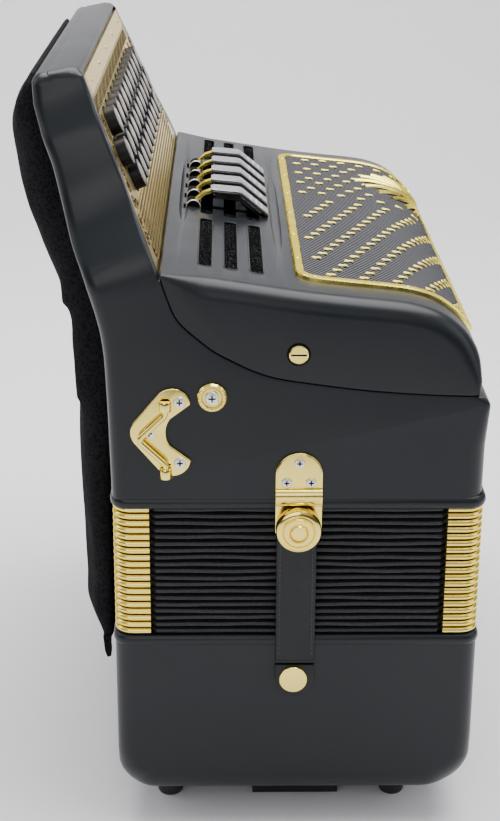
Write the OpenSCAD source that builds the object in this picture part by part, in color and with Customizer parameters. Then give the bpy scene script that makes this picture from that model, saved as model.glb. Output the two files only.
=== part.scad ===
// Three-row button accordion, standing on its bass end.
// X runs from the player's side to the audience side, Y along the rows, Z up.

/* [Overall] */
// Length of the case along the rows of buttons
body_length = 326; // [280:1:380]
// Half depth of the case ends
case_half = 88; // [80:1:100]
// Wall thickness of the case ends
wall = 4.5; // [3:0.5:8]
// Radius of the upright edges
edge_radius = 9; // [4:1:12]
// Radius where the bass end's faces meet its bottom
bottom_radius = 18; // [8:1:20]
// Height of the feet under the bass end
foot_height = 14; // [8:1:20]

/* [Keyboard] */
// Buttons in the outer and inner rows
short_row = 11; // [8:1:12]
// Buttons in the middle row
long_row = 12; // [9:1:13]
// Distance between neighbouring buttons in a row
key_pitch = 18.5; // [17:0.5:20]
// Button diameter
button_d = 13.4; // [10:0.2:14]
// Height of a button over its plate
button_rise = 4.8; // [3:0.2:8]
// Shift of the buttons along the case, towards the near end
key_offset = -11; // [-14:1:14]
// Diameter of the key axle
axle_d = 3; // [2:0.5:4]

/* [Registers] */
// Number of register switches
registers = 5; // [1:1:5]
// Distance between register switches
register_pitch = 23.8; // [20:0.2:30]

/* [Bellows] */
// Number of bellows folds
folds = 19; // [10:1:24]
// Depth of a fold
fold_depth = 9; // [5:1:12]

/* [Bass] */
// Bass buttons in each of the two rows
bass_row = 6; // [4:1:8]
// Bass button pitch
bass_pitch = 19; // [16:1:22]
// Bass button diameter
bass_d = 11; // [8:0.5:13]

/* [View] */
// Which node to draw

/* [Hidden] */
$fn = 48;
eps = 0.01;
origin_x = 23.7;
origin_z = 85 + foot_height;
half_y = body_length / 2;
plate_top = [-98.5, 269.5];
plate_down = [0.377, -0.926];
plate_out = [0.926, 0.377];
plate_angle = 22.15;
plate_len = 91;
plate_t = 1.6;
row_s = [26.5, 40.3, 54.1];
hole_d = button_d + 2.4;
screw_d = 1.8;
screw_rise = 0.35;
ribs = 10;
rib_pitch = 2.6;
pivot = [-57, 160];
lever_t = 1.6;
hub_d = 7.2;
hub_w = 4;
running_fit = 0.05;
pallet_x = [38, 11, -16];
board_z = 126;
board_t = 5;
lever_shift = [-key_pitch / 4, 0, 0];
rim_low = 8.3;
rim_high = 75.2;
fold_pitch = (rim_high - rim_low) / folds;
bead_out = 0.8;
bead_low = 2.3;
bead_high = 75.5;
cover_t = 3;
register_far = 72;
bar_width = 14.8;
register_pivot = [-15, 177.5];
register_mid = register_far - register_pitch * (registers - 1) / 2;
bass_bottom = -85;
back_corner = 19;
front_corner = 24;
foot_x = [-63, 52];
foot_y = [-132, 132];
pad_width = 206;
bass_y = [for (i = [0 : bass_row - 1]) (i - (bass_row - 1) / 2) * bass_pitch];
bass_x = [44, 62];
rows = [short_row, long_row, short_row];

case_profile = [
    [-87.8, 75.5], [86.7, 75.5], [87, 105], [87.6, 121], [86.4, 126], [82, 130.4], [63.7, 130.8],
    [46.1, 131.8], [28.6, 133.3], [11.1, 135.5], [-10.3, 138.7], [-22, 142.4], [-30.7, 146.7],
    [-39.3, 151.6], [-46.2, 157], [-53.6, 163.6], [-57.5, 169], [-60.9, 177.3], [-64.3, 185.4],
    [-98.5, 269.5], [-101.5, 272.5], [-118, 270.5], [-122.4, 265], [-121.3, 255.2], [-117.5, 243.1],
    [-112.7, 230.5], [-109, 215.6], [-104.3, 198.8], [-98.5, 184.8], [-93, 165.8], [-90.2, 150],
    [-89, 125], [-88.8, 98]
];
case_hollow = [
    [-84, 70], [82.5, 70], [82.5, 126.2], [77, 126.2], [77, 145], [-50, 176], [-61.5, 177.5],
    [-66, 183.2],
    [-69.5, 181.5], [-101.6, 261], [-104, 267.2], [-115.5, 265.6], [-117.6, 263], [-116.8, 256],
    [-113, 244.5], [-108.2, 231.8], [-104.5, 217], [-99.9, 200.4], [-94.1, 186.3], [-88.6, 166.9],
    [-85.7, 150.5], [-84.5, 125]
];
case_side = [
    [half_y, 70], [half_y, 187], [half_y - 10, 205], [half_y - 22, 225], [half_y - 32, 252],
    [half_y - 38, 275]
];
cover_profile = [
    [-64.1, 188.4], [-60.9, 177.7], [-57.3, 169.4], [-53.4, 164], [-46.1, 157.4], [-39.1, 152],
    [-30.5, 147.1], [-21.9, 142.8], [-10.2, 139.1], [11.1, 135.9], [28.6, 133.7], [46.1, 132.2],
    [63.7, 131.2], [82, 130.8], [83.2, 136.9], [82.1, 147.5], [79.1, 154.2], [74.6, 160.4], [69.1, 165.2],
    [63.2, 168.9], [54.9, 171.9], [44.4, 173.7], [-0.8, 178.6]
];
cover_hollow = [
    [-61, 184.8], [-60.9, 120], [79.9, 120], [80, 136.5], [79, 146.3], [76.4, 152.3],
    [72.3, 157.9], [67.3, 162.3],
    [62, 165.6], [54.1, 168.4], [43.9, 170.6], [-1, 175.5]
];
bar_profile = [
    [-42.4, 194.2], [-42.2, 195.2], [-41, 195.9], [-26.2, 194.5], [-11.9, 182.8], [-12.6, 181.6],
    [-27, 192], [-41.6, 193]
];
blade_profile = [
    [-53, 180], [-49.6, 180], [-40, 193.1], [-27.5, 191.6], [-18.5, 185.2], [-18.5, 179], [-16.5, 175],
    [-13.5, 175], [-12.5, 178], [-14, 181.5], [-14.2, 183.6], [-26.6, 193.8], [-41.5, 195.2]
];
frame_line = [
    [-2.7, 179], [44.8, 174.1], [55.2, 172.3], [63.5, 169.3], [69.5, 165.5], [75, 160.7],
    [79.5, 154.4], [81, 150.5]
];

function plate_pt(h, s) = plate_top + s * plate_down + h * plate_out;
function key_y(row, i) = key_offset + (i - (rows[row] - 1) / 2) * key_pitch;
function two(i) = str(i < 9 ? "0" : "", i + 1);
function key_name(row, i) = str("treble_key_r", row + 1, "_", two(i));

// Everything is drawn about the lower bellows rim and moved to stand on the floor.
module place() {
    translate([origin_x, 0, origin_z])
        children();
}

// Extrudes an X-Z outline along Y, centred.
module along_y(length) {
    rotate([90, 0, 0])
        linear_extrude(length, center = true)
            children();
}

// Extrudes a Y-Z outline along X, centred.
module along_x(length) {
    rotate([90, 0, 90])
        linear_extrude(length, center = true)
            children();
}

// Local frame of the keyboard: X out of the plate, Z up the plate.
module on_plate() {
    translate([plate_top[0], 0, plate_top[1]])
        rotate([0, -plate_angle, 0])
            children();
}

module both_ends() {
    children();
    mirror([0, 1, 0])
        children();
}

// Rectangle in plan with rounded corners.
module plan(half_x, half_len, r) {
    for (sx = [-1, 1])
        for (sy = [-1, 1])
            translate([sx * (half_x - r), sy * (half_len - r)])
                circle(r);
    square([2 * half_x, 2 * (half_len - r)], center = true);
    square([2 * (half_x - r), 2 * half_len], center = true);
}

module rod_y(x, z, d, length, y = 0) {
    translate([x, y, z])
        rotate([90, 0, 0])
            cylinder(h = length, d = d, center = true);
}

module side_limits(inset) {
    along_x(500)
        polygon(concat([for (p = case_side) [p[0] - inset, p[1]]],
            [for (k = [len(case_side) - 1 : -1 : 0]) [inset - case_side[k][0], case_side[k][1]]]));
}

// ---- treble end ----

// Raised bead around the end that meets the bellows.
module rim_bead(z, h) {
    translate([0, 0, z])
        linear_extrude(h)
            plan(case_half + bead_out, half_y + bead_out, edge_radius);
}

module treble_case() {
    color("#2c2f31")
        place()
            difference() {
                union() {
                    intersection() {
                        along_y(body_length)
                            polygon(case_profile);
                        side_limits(0);
                        // rounded front edges; the arm leans back past them
                        translate([-150 + 87.6 / 2, 0, 60])
                            linear_extrude(240)
                                plan(150 + 87.6 / 2, half_y, edge_radius);
                    }
                    rim_bead(bead_high, 4);
                }
                intersection() {
                    along_y(body_length + 1)
                        polygon(case_hollow);
                    side_limits(wall);
                }
                // opening behind the button plate
                on_plate()
                    translate([-8, -(half_y - 42), -plate_len + 7])
                        cube([12, body_length - 84, plate_len - 23]);
                // recess for the button plate
                on_plate()
                    translate([-plate_t, 0, 0])
                        plate_outline(0.1, 6);
            }
}

// The button plate follows the taper of the keyboard arm.
module plate_outline(grow, thick) {
    rotate([0, 90, 0])
        linear_extrude(thick)
            polygon([
                [-grow + 1, half_y - 44 + grow], [12, half_y - 41 + grow], [50, half_y - 28 + grow],
                [plate_len + grow, half_y - 9 + grow], [plate_len + grow, 9 - half_y - grow],
                [50, 28 - half_y - grow], [12, 41 - half_y - grow], [-grow + 1, 44 - half_y - grow]
            ]);
}

module button_plate() {
    color("#e3d28a")
        place()
            on_plate()
                difference() {
                    union() {
                        translate([-plate_t, 0, 0])
                            plate_outline(0, plate_t);
                        // ribs between the inner row and the registers
                        for (k = [0 : ribs - 1])
                            translate([-eps, -half_y + 26, -64.5 - rib_pitch * k])
                                cube([0.5, body_length - 52, 1.2]);
                        // fixing screws
                        for (y = [-100, -50, 0, 50, 100])
                            translate([-eps, y, -6])
                                rotate([0, 90, 0])
                                    cylinder(h = screw_rise, d = screw_d);
                    }
                    for (row = [0 : 2])
                        for (i = [0 : rows[row] - 1])
                            translate([-4, key_y(row, i), -row_s[row]])
                                rotate([0, 90, 0])
                                    cylinder(h = 8, d = hole_d);
                }
}

module key(row, i) {
    y = key_y(row, i);
    ly = y + lever_shift[row];
    s = row_s[row];
    px = pallet_x[row];
    color("#1d1e20")
        place()
            difference() {
                union() {
                    translate([0, y, 0])
                        on_plate()
                            translate([-4, 0, -s])
                                rotate([0, 90, 0])
                                    cylinder(h = button_rise + 4, d = button_d);
                    translate([0, ly, 0])
                        along_y(lever_t)
                            polygon([
                                plate_pt(-3, s - 3.5), plate_pt(-3, s + 3.5), plate_pt(-10, s + 7),
                                plate_pt(-10, 96), pivot + [2.2, 2.4], [px + 3, 145], [px + 3, 134.5],
                                [px - 3, 134.5], [px - 3, 139], pivot + [0, -2.8], pivot + [-2.6, -2],
                                plate_pt(-15, 98), plate_pt(-15, s - 2)
                            ]);
                    rod_y(pivot[0], pivot[1], hub_d, hub_w, ly);
                    // pallet: wooden block over a felt
                    translate([px - 9, y - 7.2, board_z + 0.4])
                        cube([18, 14.4, 8.6]);
                }
                rod_y(pivot[0], pivot[1], axle_d + 2 * running_fit, 20, ly);
            }
}

module grille_cover() {
    color("#3a3d40")
        place() {
            // axle of the register switches
            rod_y(register_pivot[0], register_pivot[1], 2, register_pitch * registers + 6, register_mid);
            difference() {
                along_y(body_length)
                    polygon(cover_profile);
                along_y(body_length - 9)
                    polygon(cover_hollow);
                // window behind the grille cloth
                translate([2.5, -(half_y - 31), 148])
                    cube([100, body_length - 62, 60]);
                // sound slots
                for (x = [-44, -32, -20]) {
                    translate([x - 3.2, -138, 170])
                        cube([6.4, 88, 30]);
                    translate([x - 3.2, 90, 170])
                        cube([6.4, 58, 30]);
                }
                // the register switches' openings
                for (k = [0 : registers - 1]) {
                    translate([-51.5, register_far - k * register_pitch, 170])
                        cylinder(h = 30, d = 8.6);
                    translate([-49, register_far - k * register_pitch - 3, 170])
                        cube([38, 6, 30]);
                }
            }
        }
}

module frame_shape(inset, thick_low, thick_high) {
    intersection() {
        along_y(body_length - 52 - 2 * inset)
            polygon(concat(
                [for (p = frame_line) p + [thick_high * 0.35, thick_high]],
                [for (k = [len(frame_line) - 1 : -1 : 0])
                    frame_line[k] + [thick_low * 0.35, thick_low]]
            ));
        translate([-2.7 + inset, -half_y, 151 + inset])
            cube([120, body_length, 60]);
    }
}

module grille_frame() {
    color("#f0e08a")
        place()
            difference() {
                frame_shape(0, 0.35, 2.2);
                frame_shape(5.5, -4, 5);
            }
}

module grille_cloth() {
    color("#18191b")
        place()
            difference() {
                frame_shape(5.9, 0.35, 1.4);
                // rows of small sound holes
                for (a = [0 : 6])
                    for (b = [0 : 11])
                        translate([9 + 7.5 * a, -115 + 20 * b + 5 * (a % 2), 165])
                            cube([3, 8, 20]);
            }
}

module treble_soundboard() {
    color("#c8a878")
        place() {
            difference() {
                translate([-83.7, -half_y + wall + 0.5, board_z - board_t])
                    cube([165.9, body_length - 2 * wall - 1, board_t]);
                for (row = [0 : 2])
                    for (i = [0 : rows[row] - 1])
                        translate([pallet_x[row] - 6, key_y(row, i) - 4, board_z - 8])
                            cube([12, 8, 12]);
            }
            // posts and axle that carry the keys
            translate([0, key_offset, 0]) {
                both_ends()
                    translate([pivot[0] - 5, 107, board_z - eps])
                        cube([10, 4, pivot[1] - board_z + 5]);
                rod_y(pivot[0], pivot[1], axle_d, 220);
            }
        }
}

module reed_block(x, height, top) {
    difference() {
        translate([x - 10, -108, top - height])
            cube([20, 216, height]);
        for (y = [-100 : 20 : 100])
            translate([x - 12, y - 7, top - height + 6])
                cube([24, 14, height - 12]);
    }
    // reed plates on both flanks
    for (side = [-1, 1])
        translate([x + side * 10.5 - 0.75, -104, top - height + 3])
            cube([1.5, 208, height - 6]);
}

module treble_reed_blocks() {
    color("#b08a58")
        place()
            for (x = pallet_x)
                translate([0, key_offset, 0])
                    reed_block(x, 42, board_z - board_t - 0.1);
}

// Rounded plate in X-Z on the near end face, standing out along -Y.
module near_plate(thick) {
    translate([0, -half_y - thick / 2 - 0.02, 0])
        along_y(thick)
            children();
}

module screw_head(x, z, d, h) {
    translate([x, -half_y - h / 2, z])
        rotate([90, 0, 0])
            difference() {
                cylinder(h = h, d = d, center = true);
                translate([0, 0, h / 2])
                    cube([d * 0.7, 0.8, 0.8], center = true);
                translate([0, 0, h / 2])
                    cube([0.8, d * 0.7, 0.8], center = true);
            }
}

module treble_end_fittings() {
    // strap bracket
    near_plate(1.6)
        difference() {
            union() {
                translate([-58.5, 126.5])
                    circle(d = 17);
                translate([-69.5, 113.5])
                    circle(d = 17);
                translate([-58.5, 100.5])
                    circle(d = 17);
                polygon([
                    [-64.5, 132.5], [-77, 117], [-77, 110], [-64.5, 94.5], [-52, 106],
                    [-62, 113.5], [-52, 121]
                ]);
            }
            translate([-50.5, 113.5])
                circle(d = 15);
        }
    screw_head(-55.5, 128.4, 6, 2.8);
    screw_head(-69.5, 113.4, 6, 2.2);
    screw_head(-55.5, 98.6, 6, 2.8);
    // lugs that hold the wire loop
    for (z = [94.5, 127.5])
        translate([-62, -half_y - 3.6, z])
            difference() {
                cube([6, 7.2, 5], center = true);
                translate([0, -0.4, 0])
                    cylinder(h = 10, d = 3.12, center = true);
            }
    // strap lock
    translate([-40.6, -half_y, 130.5])
        rotate([90, 0, 0])
            difference() {
                cylinder(h = 4, r1 = 7, r2 = 6.2);
                translate([0, 0, 2.6])
                    cylinder(h = 4, r = 4.6);
            }
    screw_head(-40.6, 130.5, 8, 3.4);
    // grille cover pin
    screw_head(-1.3, 151, 9, 1.6);
    // buckle plate and stud for the bellows strap
    near_plate(1.4)
        union() {
            translate([-0.2, 92.3])
                circle(d = 22);
            translate([-11.2, bead_high + 4])
                square([22, 92.3 - bead_high - 4]);
        }
    // its lower part passes over the bead
    translate([0, -bead_out, 0])
        near_plate(0.8)
            translate([-11.2, 62.6])
                square([22, bead_high + 5 - 62.6]);
    // rolled ramp of the buckle plate
    intersection() {
        translate([-0.2, -half_y, 81.2])
            rotate([0, 90, 0])
                cylinder(h = 22, d = 9.2, center = true);
        translate([-20, -half_y - 10, 70])
            cube([40, 10 - bead_out, 20]);
    }
    screw_head(-0.1, 98.4, 5, 2.6);
    screw_head(-6, 88.6, 5, 2.6);
    screw_head(5.4, 88.6, 5, 2.6);
}

module treble_fittings() {
    color("#f2dd7c")
        place()
            both_ends()
                treble_end_fittings();
}

module back_pad() {
    color("#141517")
        place()
            along_y(pad_width)
                polygon([
                    [-121.5, 270.5], [-128, 267], [-134.6, 256], [-135.3, 250], [-134, 243],
                    [-131.5, 229], [-129.6, 215], [-123.3, 193], [-113.5, 163], [-105.8, 138],
                    [-105, 117], [-106, 80], [-105.3, 47],
                    [-104.3, 19], [-103.8, 2], [-104.8, -15], [-101, -27], [-96.4, -32], [-92.5, -27],
                    [-91.6, 0], [-91.6, 80], [-89.1, 81], [-89.1, 98], [-89.3, 125], [-90.5, 150],
                    [-93.3, 165.8],
                    [-98.8, 184.8], [-104.6, 198.8], [-109.3, 215.6], [-113, 230.5], [-117.8, 243.1],
                    [-121.6, 255.2], [-122.7, 265]
                ]);
}

// ---- bellows ----

module pleat(grow, z, h) {
    translate([0, 0, z])
        linear_extrude(h)
            plan(case_half - fold_depth + grow, half_y - 1 - fold_depth + grow, edge_radius - 2);
}

module bellows() {
    color("#17181a")
        place() {
            difference() {
                union() {
                    pleat(0, rim_low + 0.3, rim_high - rim_low - 0.6);
                    for (k = [0 : folds - 1])
                        pleat(fold_depth - 0.6, rim_low + (k + 0.18) * fold_pitch, fold_pitch * 0.64);
                }
                translate([-case_half + 2 * fold_depth, -half_y + 2 * fold_depth, 0])
                    cube([2 * case_half - 4 * fold_depth, body_length - 4 * fold_depth, 90]);
            }
            // metal caps on the four corners
            for (k = [0 : folds - 1])
                translate([0, 0, rim_low + (k + 0.11) * fold_pitch])
                    linear_extrude(fold_pitch * 0.78)
                        difference() {
                            plan(case_half, half_y - 0.5, edge_radius);
                            square([2 * case_half - 35, 400], center = true);
                            square([400, body_length - 36], center = true);
                        }
        }
}

// ---- bass end ----

module bass_outline() {
    difference() {
        translate([-case_half, bass_bottom])
            square([2 * case_half, rim_low - 0.3 - bass_bottom]);
        difference() {
            translate([-case_half - 1, bass_bottom - 1])
                square(back_corner + 1);
            translate([-case_half + back_corner, bass_bottom + back_corner])
                circle(r = back_corner);
        }
        difference() {
            translate([case_half - front_corner, bass_bottom - 1])
                square(front_corner + 1);
            translate([case_half - front_corner, bass_bottom + front_corner])
                circle(r = front_corner);
        }
    }
}

// The bass end seen along X: its end faces turn under in a wide curve.
module bass_side() {
    for (side = [-1, 1])
        translate([side * (half_y - bottom_radius), bass_bottom + bottom_radius])
            circle(bottom_radius);
    translate([-half_y + bottom_radius, bass_bottom])
        square([body_length - 2 * bottom_radius, 50]);
    translate([-half_y, bass_bottom + bottom_radius])
        square([body_length, 100]);
}

module bass_case() {
    color("#2c2f31")
        place()
            difference() {
                union() {
                    intersection() {
                        along_y(body_length)
                            bass_outline();
                        along_x(500)
                            bass_side();
                        translate([0, 0, bass_bottom])
                            linear_extrude(120)
                                plan(case_half, half_y, edge_radius);
                    }
                    rim_bead(bead_low, 5.7);
                }
                translate([-case_half + wall, -half_y + wall, bass_bottom + 20])
                    cube([2 * case_half - 2 * wall, body_length - 2 * wall, 120]);
                translate([-case_half + 22, -half_y + 14, bass_bottom + wall])
                    cube([2 * case_half - 54, body_length - 28, 30]);
                // bass button holes
                for (x = bass_x)
                    for (y = bass_y)
                        translate([x, y, bass_bottom - 5])
                            cylinder(h = 30, d = bass_d + 0.12);
                translate([bass_x[1], 90, bass_bottom - 5])
                    cylinder(h = 30, d = 13.12);
            }
}

module bass_reed_block() {
    color("#b08a58")
        place() {
            translate([-82.5, -half_y + wall + 0.5, -20])
                cube([165, body_length - 2 * wall - 1, 5]);
            for (x = [-40, -10])
                reed_block(x, 44, 29.5);
        }
}

// Hand strap under the bass end, held off the bottom by its two brackets.
module bass_strap() {
    color("#1a1b1c")
        place()
            difference() {
                translate([-20.5, -138, bass_bottom - 12])
                    cube([44, 276, 12]);
                translate([-30, -124, bass_bottom - 9])
                    cube([60, 248, 12]);
            }
}

module bass_buttons(row) {
    color("#e9e4d6")
        place()
            for (y = bass_y)
                translate([bass_x[row], y, bass_bottom - 6])
                    cylinder(h = 22, d = bass_d);
}

module air_button() {
    color("#e9e4d6")
        place()
            translate([bass_x[1], 90, bass_bottom - 5])
                cylinder(h = 20, d = 13);
}

module bass_end_fittings() {
    // lower strap end and its rivet
    near_plate(2.4)
        difference() {
            union() {
                translate([-11, -13.5])
                    square([20, 6.5]);
                translate([-1, -13.5])
                    circle(d = 19);
            }
            translate([-12, -7])
                square([22, 10]);
        }
    translate([-1.7, -half_y - 2.4, -13.7])
        rotate([90, 0, 0])
            cylinder(h = 1.8, r1 = 7, r2 = 6.2);
    // pin that the strap turns on
    translate([-1, -half_y - 2.7, -4])
        rotate([0, 90, 0])
            cylinder(h = 25, d = 1.6, center = true);
    for (x = [-12.4, 10.4])
        translate([x - 1, -half_y - 3.6, -8])
            cube([2, 3.6, 6]);
    translate([-13.4, -half_y - 2.4, -9])
        cube([24.8, 2.4, 2]);
}

module bass_fittings() {
    color("#f2dd7c")
        place() {
            both_ends()
                bass_end_fittings();
            // feet
            for (x = foot_x)
                for (y = foot_y)
                    translate([x, y, bass_bottom - foot_height])
                        cylinder(h = foot_height, d1 = 12.5, d2 = 14);
        }
}

module near_bellows_strap() {
    difference() {
        union() {
            translate([-10.5, -half_y - 3.9, -2.6])
                cube([19, 2.2, 68.6]);
            translate([-1, -half_y - 1.7, 66])
                rotate([90, 0, 0])
                    cylinder(h = 2.2, d = 19);
            translate([-1, -half_y - 2.7, -4])
                rotate([0, 90, 0])
                    cylinder(h = 20, d = 3.2, center = true);
            // snap socket
            translate([-0.4, -half_y - 3.8, 67.2])
                rotate([90, 0, 0])
                    cylinder(h = 8.2, r = 10.6);
        }
        translate([-1, -half_y - 2.7, -4])
            rotate([0, 90, 0])
                cylinder(h = 30, d = 1.7, center = true);
    }
}

module bellows_strap_near() {
    color("#1b1c1d")
        place()
            near_bellows_strap();
}

module bellows_strap_far() {
    color("#1b1c1d")
        place()
            mirror([0, 1, 0])
                near_bellows_strap();
}

module near_strap_loop() {
    wire = 3;
    y = -half_y - 4;
    knee = [-74.5, 111];
    translate([-62, y, 94.5])
        cylinder(h = 9, d = wire, center = true);
    translate([-62, y, 127.5])
        cylinder(h = 9, d = wire, center = true);
    for (end = [[-62, 99], [-62, 123]])
        translate([end[0], y, end[1]])
            rotate([0, atan2(knee[0] - end[0], knee[1] - end[1]), 0])
                cylinder(h = norm(knee - end), d = wire);
    for (p = [[-62, 99], [-62, 123], knee])
        translate([p[0], y, p[1]])
            sphere(d = wire);
}

module strap_loop_near() {
    color("#f2dd7c")
        place()
            near_strap_loop();
}

module strap_loop_far() {
    color("#f2dd7c")
        place()
            mirror([0, 1, 0])
                near_strap_loop();
}

// ---- registers ----

module register_switch(k) {
    y = register_far - k * register_pitch;
    color("#b9bcc0")
        place()
            difference() {
                union() {
                    translate([0, y, 0])
                        along_y(bar_width)
                            polygon(bar_profile);
                    translate([0, y, 0])
                        along_y(5)
                            polygon(blade_profile);
                    rod_y(register_pivot[0], register_pivot[1], 5, 5, y);
                }
                rod_y(register_pivot[0], register_pivot[1], 2.1, 20, y);
            }
}

// ---- nodes ----

treble_case();
button_plate();
grille_cover();
grille_frame();
grille_cloth();
treble_soundboard();
treble_reed_blocks();
treble_fittings();
back_pad();
bellows();
bass_case();
bass_reed_block();
bass_strap();
bass_fittings();
bellows_strap_near();
bellows_strap_far();
strap_loop_near();
strap_loop_far();
air_button();
bass_buttons(0);  // bass_buttons_row_1
bass_buttons(1);  // bass_buttons_row_2
for (k = [0 : registers - 1])
    register_switch(k);
for (row = [0 : 2])
    for (i = [0 : rows[row] - 1])
        key(row, i);
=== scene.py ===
"""Three-row button accordion standing on its bass end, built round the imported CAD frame."""
import math

import bmesh
import bpy
import numpy as np
from mathutils import Matrix, Vector
from mathutils.noise import noise


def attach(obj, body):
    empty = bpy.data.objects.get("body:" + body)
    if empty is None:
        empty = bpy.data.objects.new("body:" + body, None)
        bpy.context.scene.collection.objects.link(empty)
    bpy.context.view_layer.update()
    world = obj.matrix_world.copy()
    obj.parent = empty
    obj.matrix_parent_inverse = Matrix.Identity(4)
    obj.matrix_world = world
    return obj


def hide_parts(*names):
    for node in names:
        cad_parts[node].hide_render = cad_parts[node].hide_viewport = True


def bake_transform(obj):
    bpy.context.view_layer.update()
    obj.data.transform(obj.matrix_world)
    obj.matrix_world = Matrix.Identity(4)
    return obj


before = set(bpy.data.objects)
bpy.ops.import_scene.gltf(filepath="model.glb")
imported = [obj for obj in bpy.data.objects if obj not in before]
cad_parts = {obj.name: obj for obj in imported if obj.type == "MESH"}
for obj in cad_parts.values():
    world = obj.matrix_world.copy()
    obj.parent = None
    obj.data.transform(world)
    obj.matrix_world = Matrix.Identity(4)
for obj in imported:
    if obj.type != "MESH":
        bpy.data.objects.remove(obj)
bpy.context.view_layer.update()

# ---------------------------------------------------------------- frame and sizes (mm)
# Points are written about the lower bellows rim, as in the CAD, and moved by this offset.
OFFSET = Vector((23.7, 0.0, 99.0))
HALF_Y = 163.0
HALF_X = 88.0
EDGE = 9.0
BEAD_OUT = 0.8
RIM_LOW, RIM_HIGH = 8.0, 75.5
FOLDS = 19
PLATE_TOP = Vector((-98.5, 0.0, 269.5))
PLATE_DOWN = Vector((0.377, 0.0, -0.926))
PLATE_OUT = Vector((0.926, 0.0, 0.377))
CASE_FOOT = 75.6  # lower edge of the treble case
BASS_TOP = 7.9  # upper edge of the bass case
WALL = 4.5  # thickness of both cases
TREBLE, BASS = "treble_end", "bass_end"


def metres(p):
    return (Vector(p) + OFFSET) / 1000.0


def add_mesh(name, points, faces, mat, smooth=35):
    mesh = bpy.data.meshes.new(name)
    mesh.from_pydata([metres(p) for p in points], [], faces)
    mesh.validate()
    bm = bmesh.new()
    bm.from_mesh(mesh)
    bmesh.ops.recalc_face_normals(bm, faces=bm.faces)
    bm.to_mesh(mesh)
    bm.free()
    return finish_mesh(name, mesh, mat, smooth)


def finish_mesh(name, mesh, mat, smooth=35):
    obj = bpy.data.objects.new(name, mesh)
    bpy.context.scene.collection.objects.link(obj)
    if mat is not None:
        mesh.materials.clear()
        mesh.materials.append(mat)
    shade(mesh, smooth)
    return obj


def shade(mesh, smooth):
    mesh.polygons.foreach_set("use_smooth", [True] * len(mesh.polygons))
    mesh.set_sharp_from_angle(angle=math.radians(smooth))


def copy_node(name, new_name, mat, smooth=30):
    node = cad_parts[name]
    mesh = node.data.copy()
    obj = finish_mesh(new_name, mesh, mat, smooth)
    return obj


def bake(obj, smooth=35):
    """Applies the object's modifiers to its mesh."""
    graph = bpy.context.evaluated_depsgraph_get()
    mesh = bpy.data.meshes.new_from_object(obj.evaluated_get(graph))
    obj.modifiers.clear()
    old = obj.data
    obj.data = mesh
    bpy.data.meshes.remove(old)
    shade(mesh, smooth)
    return obj


def cut(obj, *cutters, smooth=35, operation="DIFFERENCE"):
    for cutter in cutters:
        mod = obj.modifiers.new("cut", "BOOLEAN")
        mod.operation = operation
        mod.solver = "EXACT"
        mod.object = cutter
        bpy.context.view_layer.update()
        bake(obj, smooth)
        bpy.data.objects.remove(cutter)
    return obj


def join(name, objs):
    target = objs[0]
    if len(objs) > 1:
        bpy.ops.object.select_all(action="DESELECT")
        for o in objs:
            o.select_set(True)
        bpy.context.view_layer.objects.active = target
        bpy.ops.object.join()
    target.name = name
    return target


def bevel(obj, width, segments=2, angle=35):
    mod = obj.modifiers.new("bevel", "BEVEL")
    mod.width = width / 1000.0
    mod.segments = segments
    mod.limit_method = "ANGLE"
    mod.angle_limit = math.radians(angle)
    mod.harden_normals = False
    return obj


def place(obj, body, slot_name, *nodes):
    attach(obj, body)
    if nodes:
        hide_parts(*nodes)
    return obj


# ---------------------------------------------------------------- curves and solids


def smooth_line(points, step=2.0, closed=False):
    """Catmull-Rom curve through the points, sampled about every step."""
    pts = [np.array(p, float) for p in points]
    n = len(pts)
    out = []
    for i in range(n if closed else n - 1):
        if closed:
            a, b, c, d = (pts[(i + k) % n] for k in (-1, 0, 1, 2))
        else:
            a, b, c, d = (pts[min(max(i + k, 0), n - 1)] for k in (-1, 0, 1, 2))
        count = max(1, int(round(np.linalg.norm(c - b) / step)))
        for k in range(count):
            t = k / count
            square = (2 * a - 5 * b + 4 * c - d) * t * t
            cube = (3 * b - a - 3 * c + d) * t**3
            out.append(0.5 * (2 * b + (c - a) * t + square + cube))
    if not closed:
        out.append(pts[-1])
    return out


def arc(cx, cz, r, start, end, count=10):
    angles = np.radians(np.linspace(start, end, count))
    return [(cx + r * math.cos(a), cz + r * math.sin(a)) for a in angles]


def outline_normals(points):
    """Outward normals of a closed outline that runs anticlockwise in X-Z."""
    p = np.array(points, float)
    before = p - np.roll(p, 1, 0)
    after = np.roll(p, -1, 0) - p
    n = np.zeros_like(p)
    for d in (before, after):
        length = np.maximum(np.linalg.norm(d, axis=1, keepdims=True), 1e-9)
        n += np.stack([d[:, 1], -d[:, 0]], 1) / length
    return n / np.maximum(np.linalg.norm(n, axis=1, keepdims=True), 1e-9)


def anticlockwise(points):
    p = np.array(points, float)
    area = np.sum(p[:, 0] * np.roll(p[:, 1], -1) - np.roll(p[:, 0], -1) * p[:, 1])
    return p if area > 0 else p[::-1]


# A prism is first drawn this far out each way, so that half(x, z) can then set its real length.
UNIT = 1000.0


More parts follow.
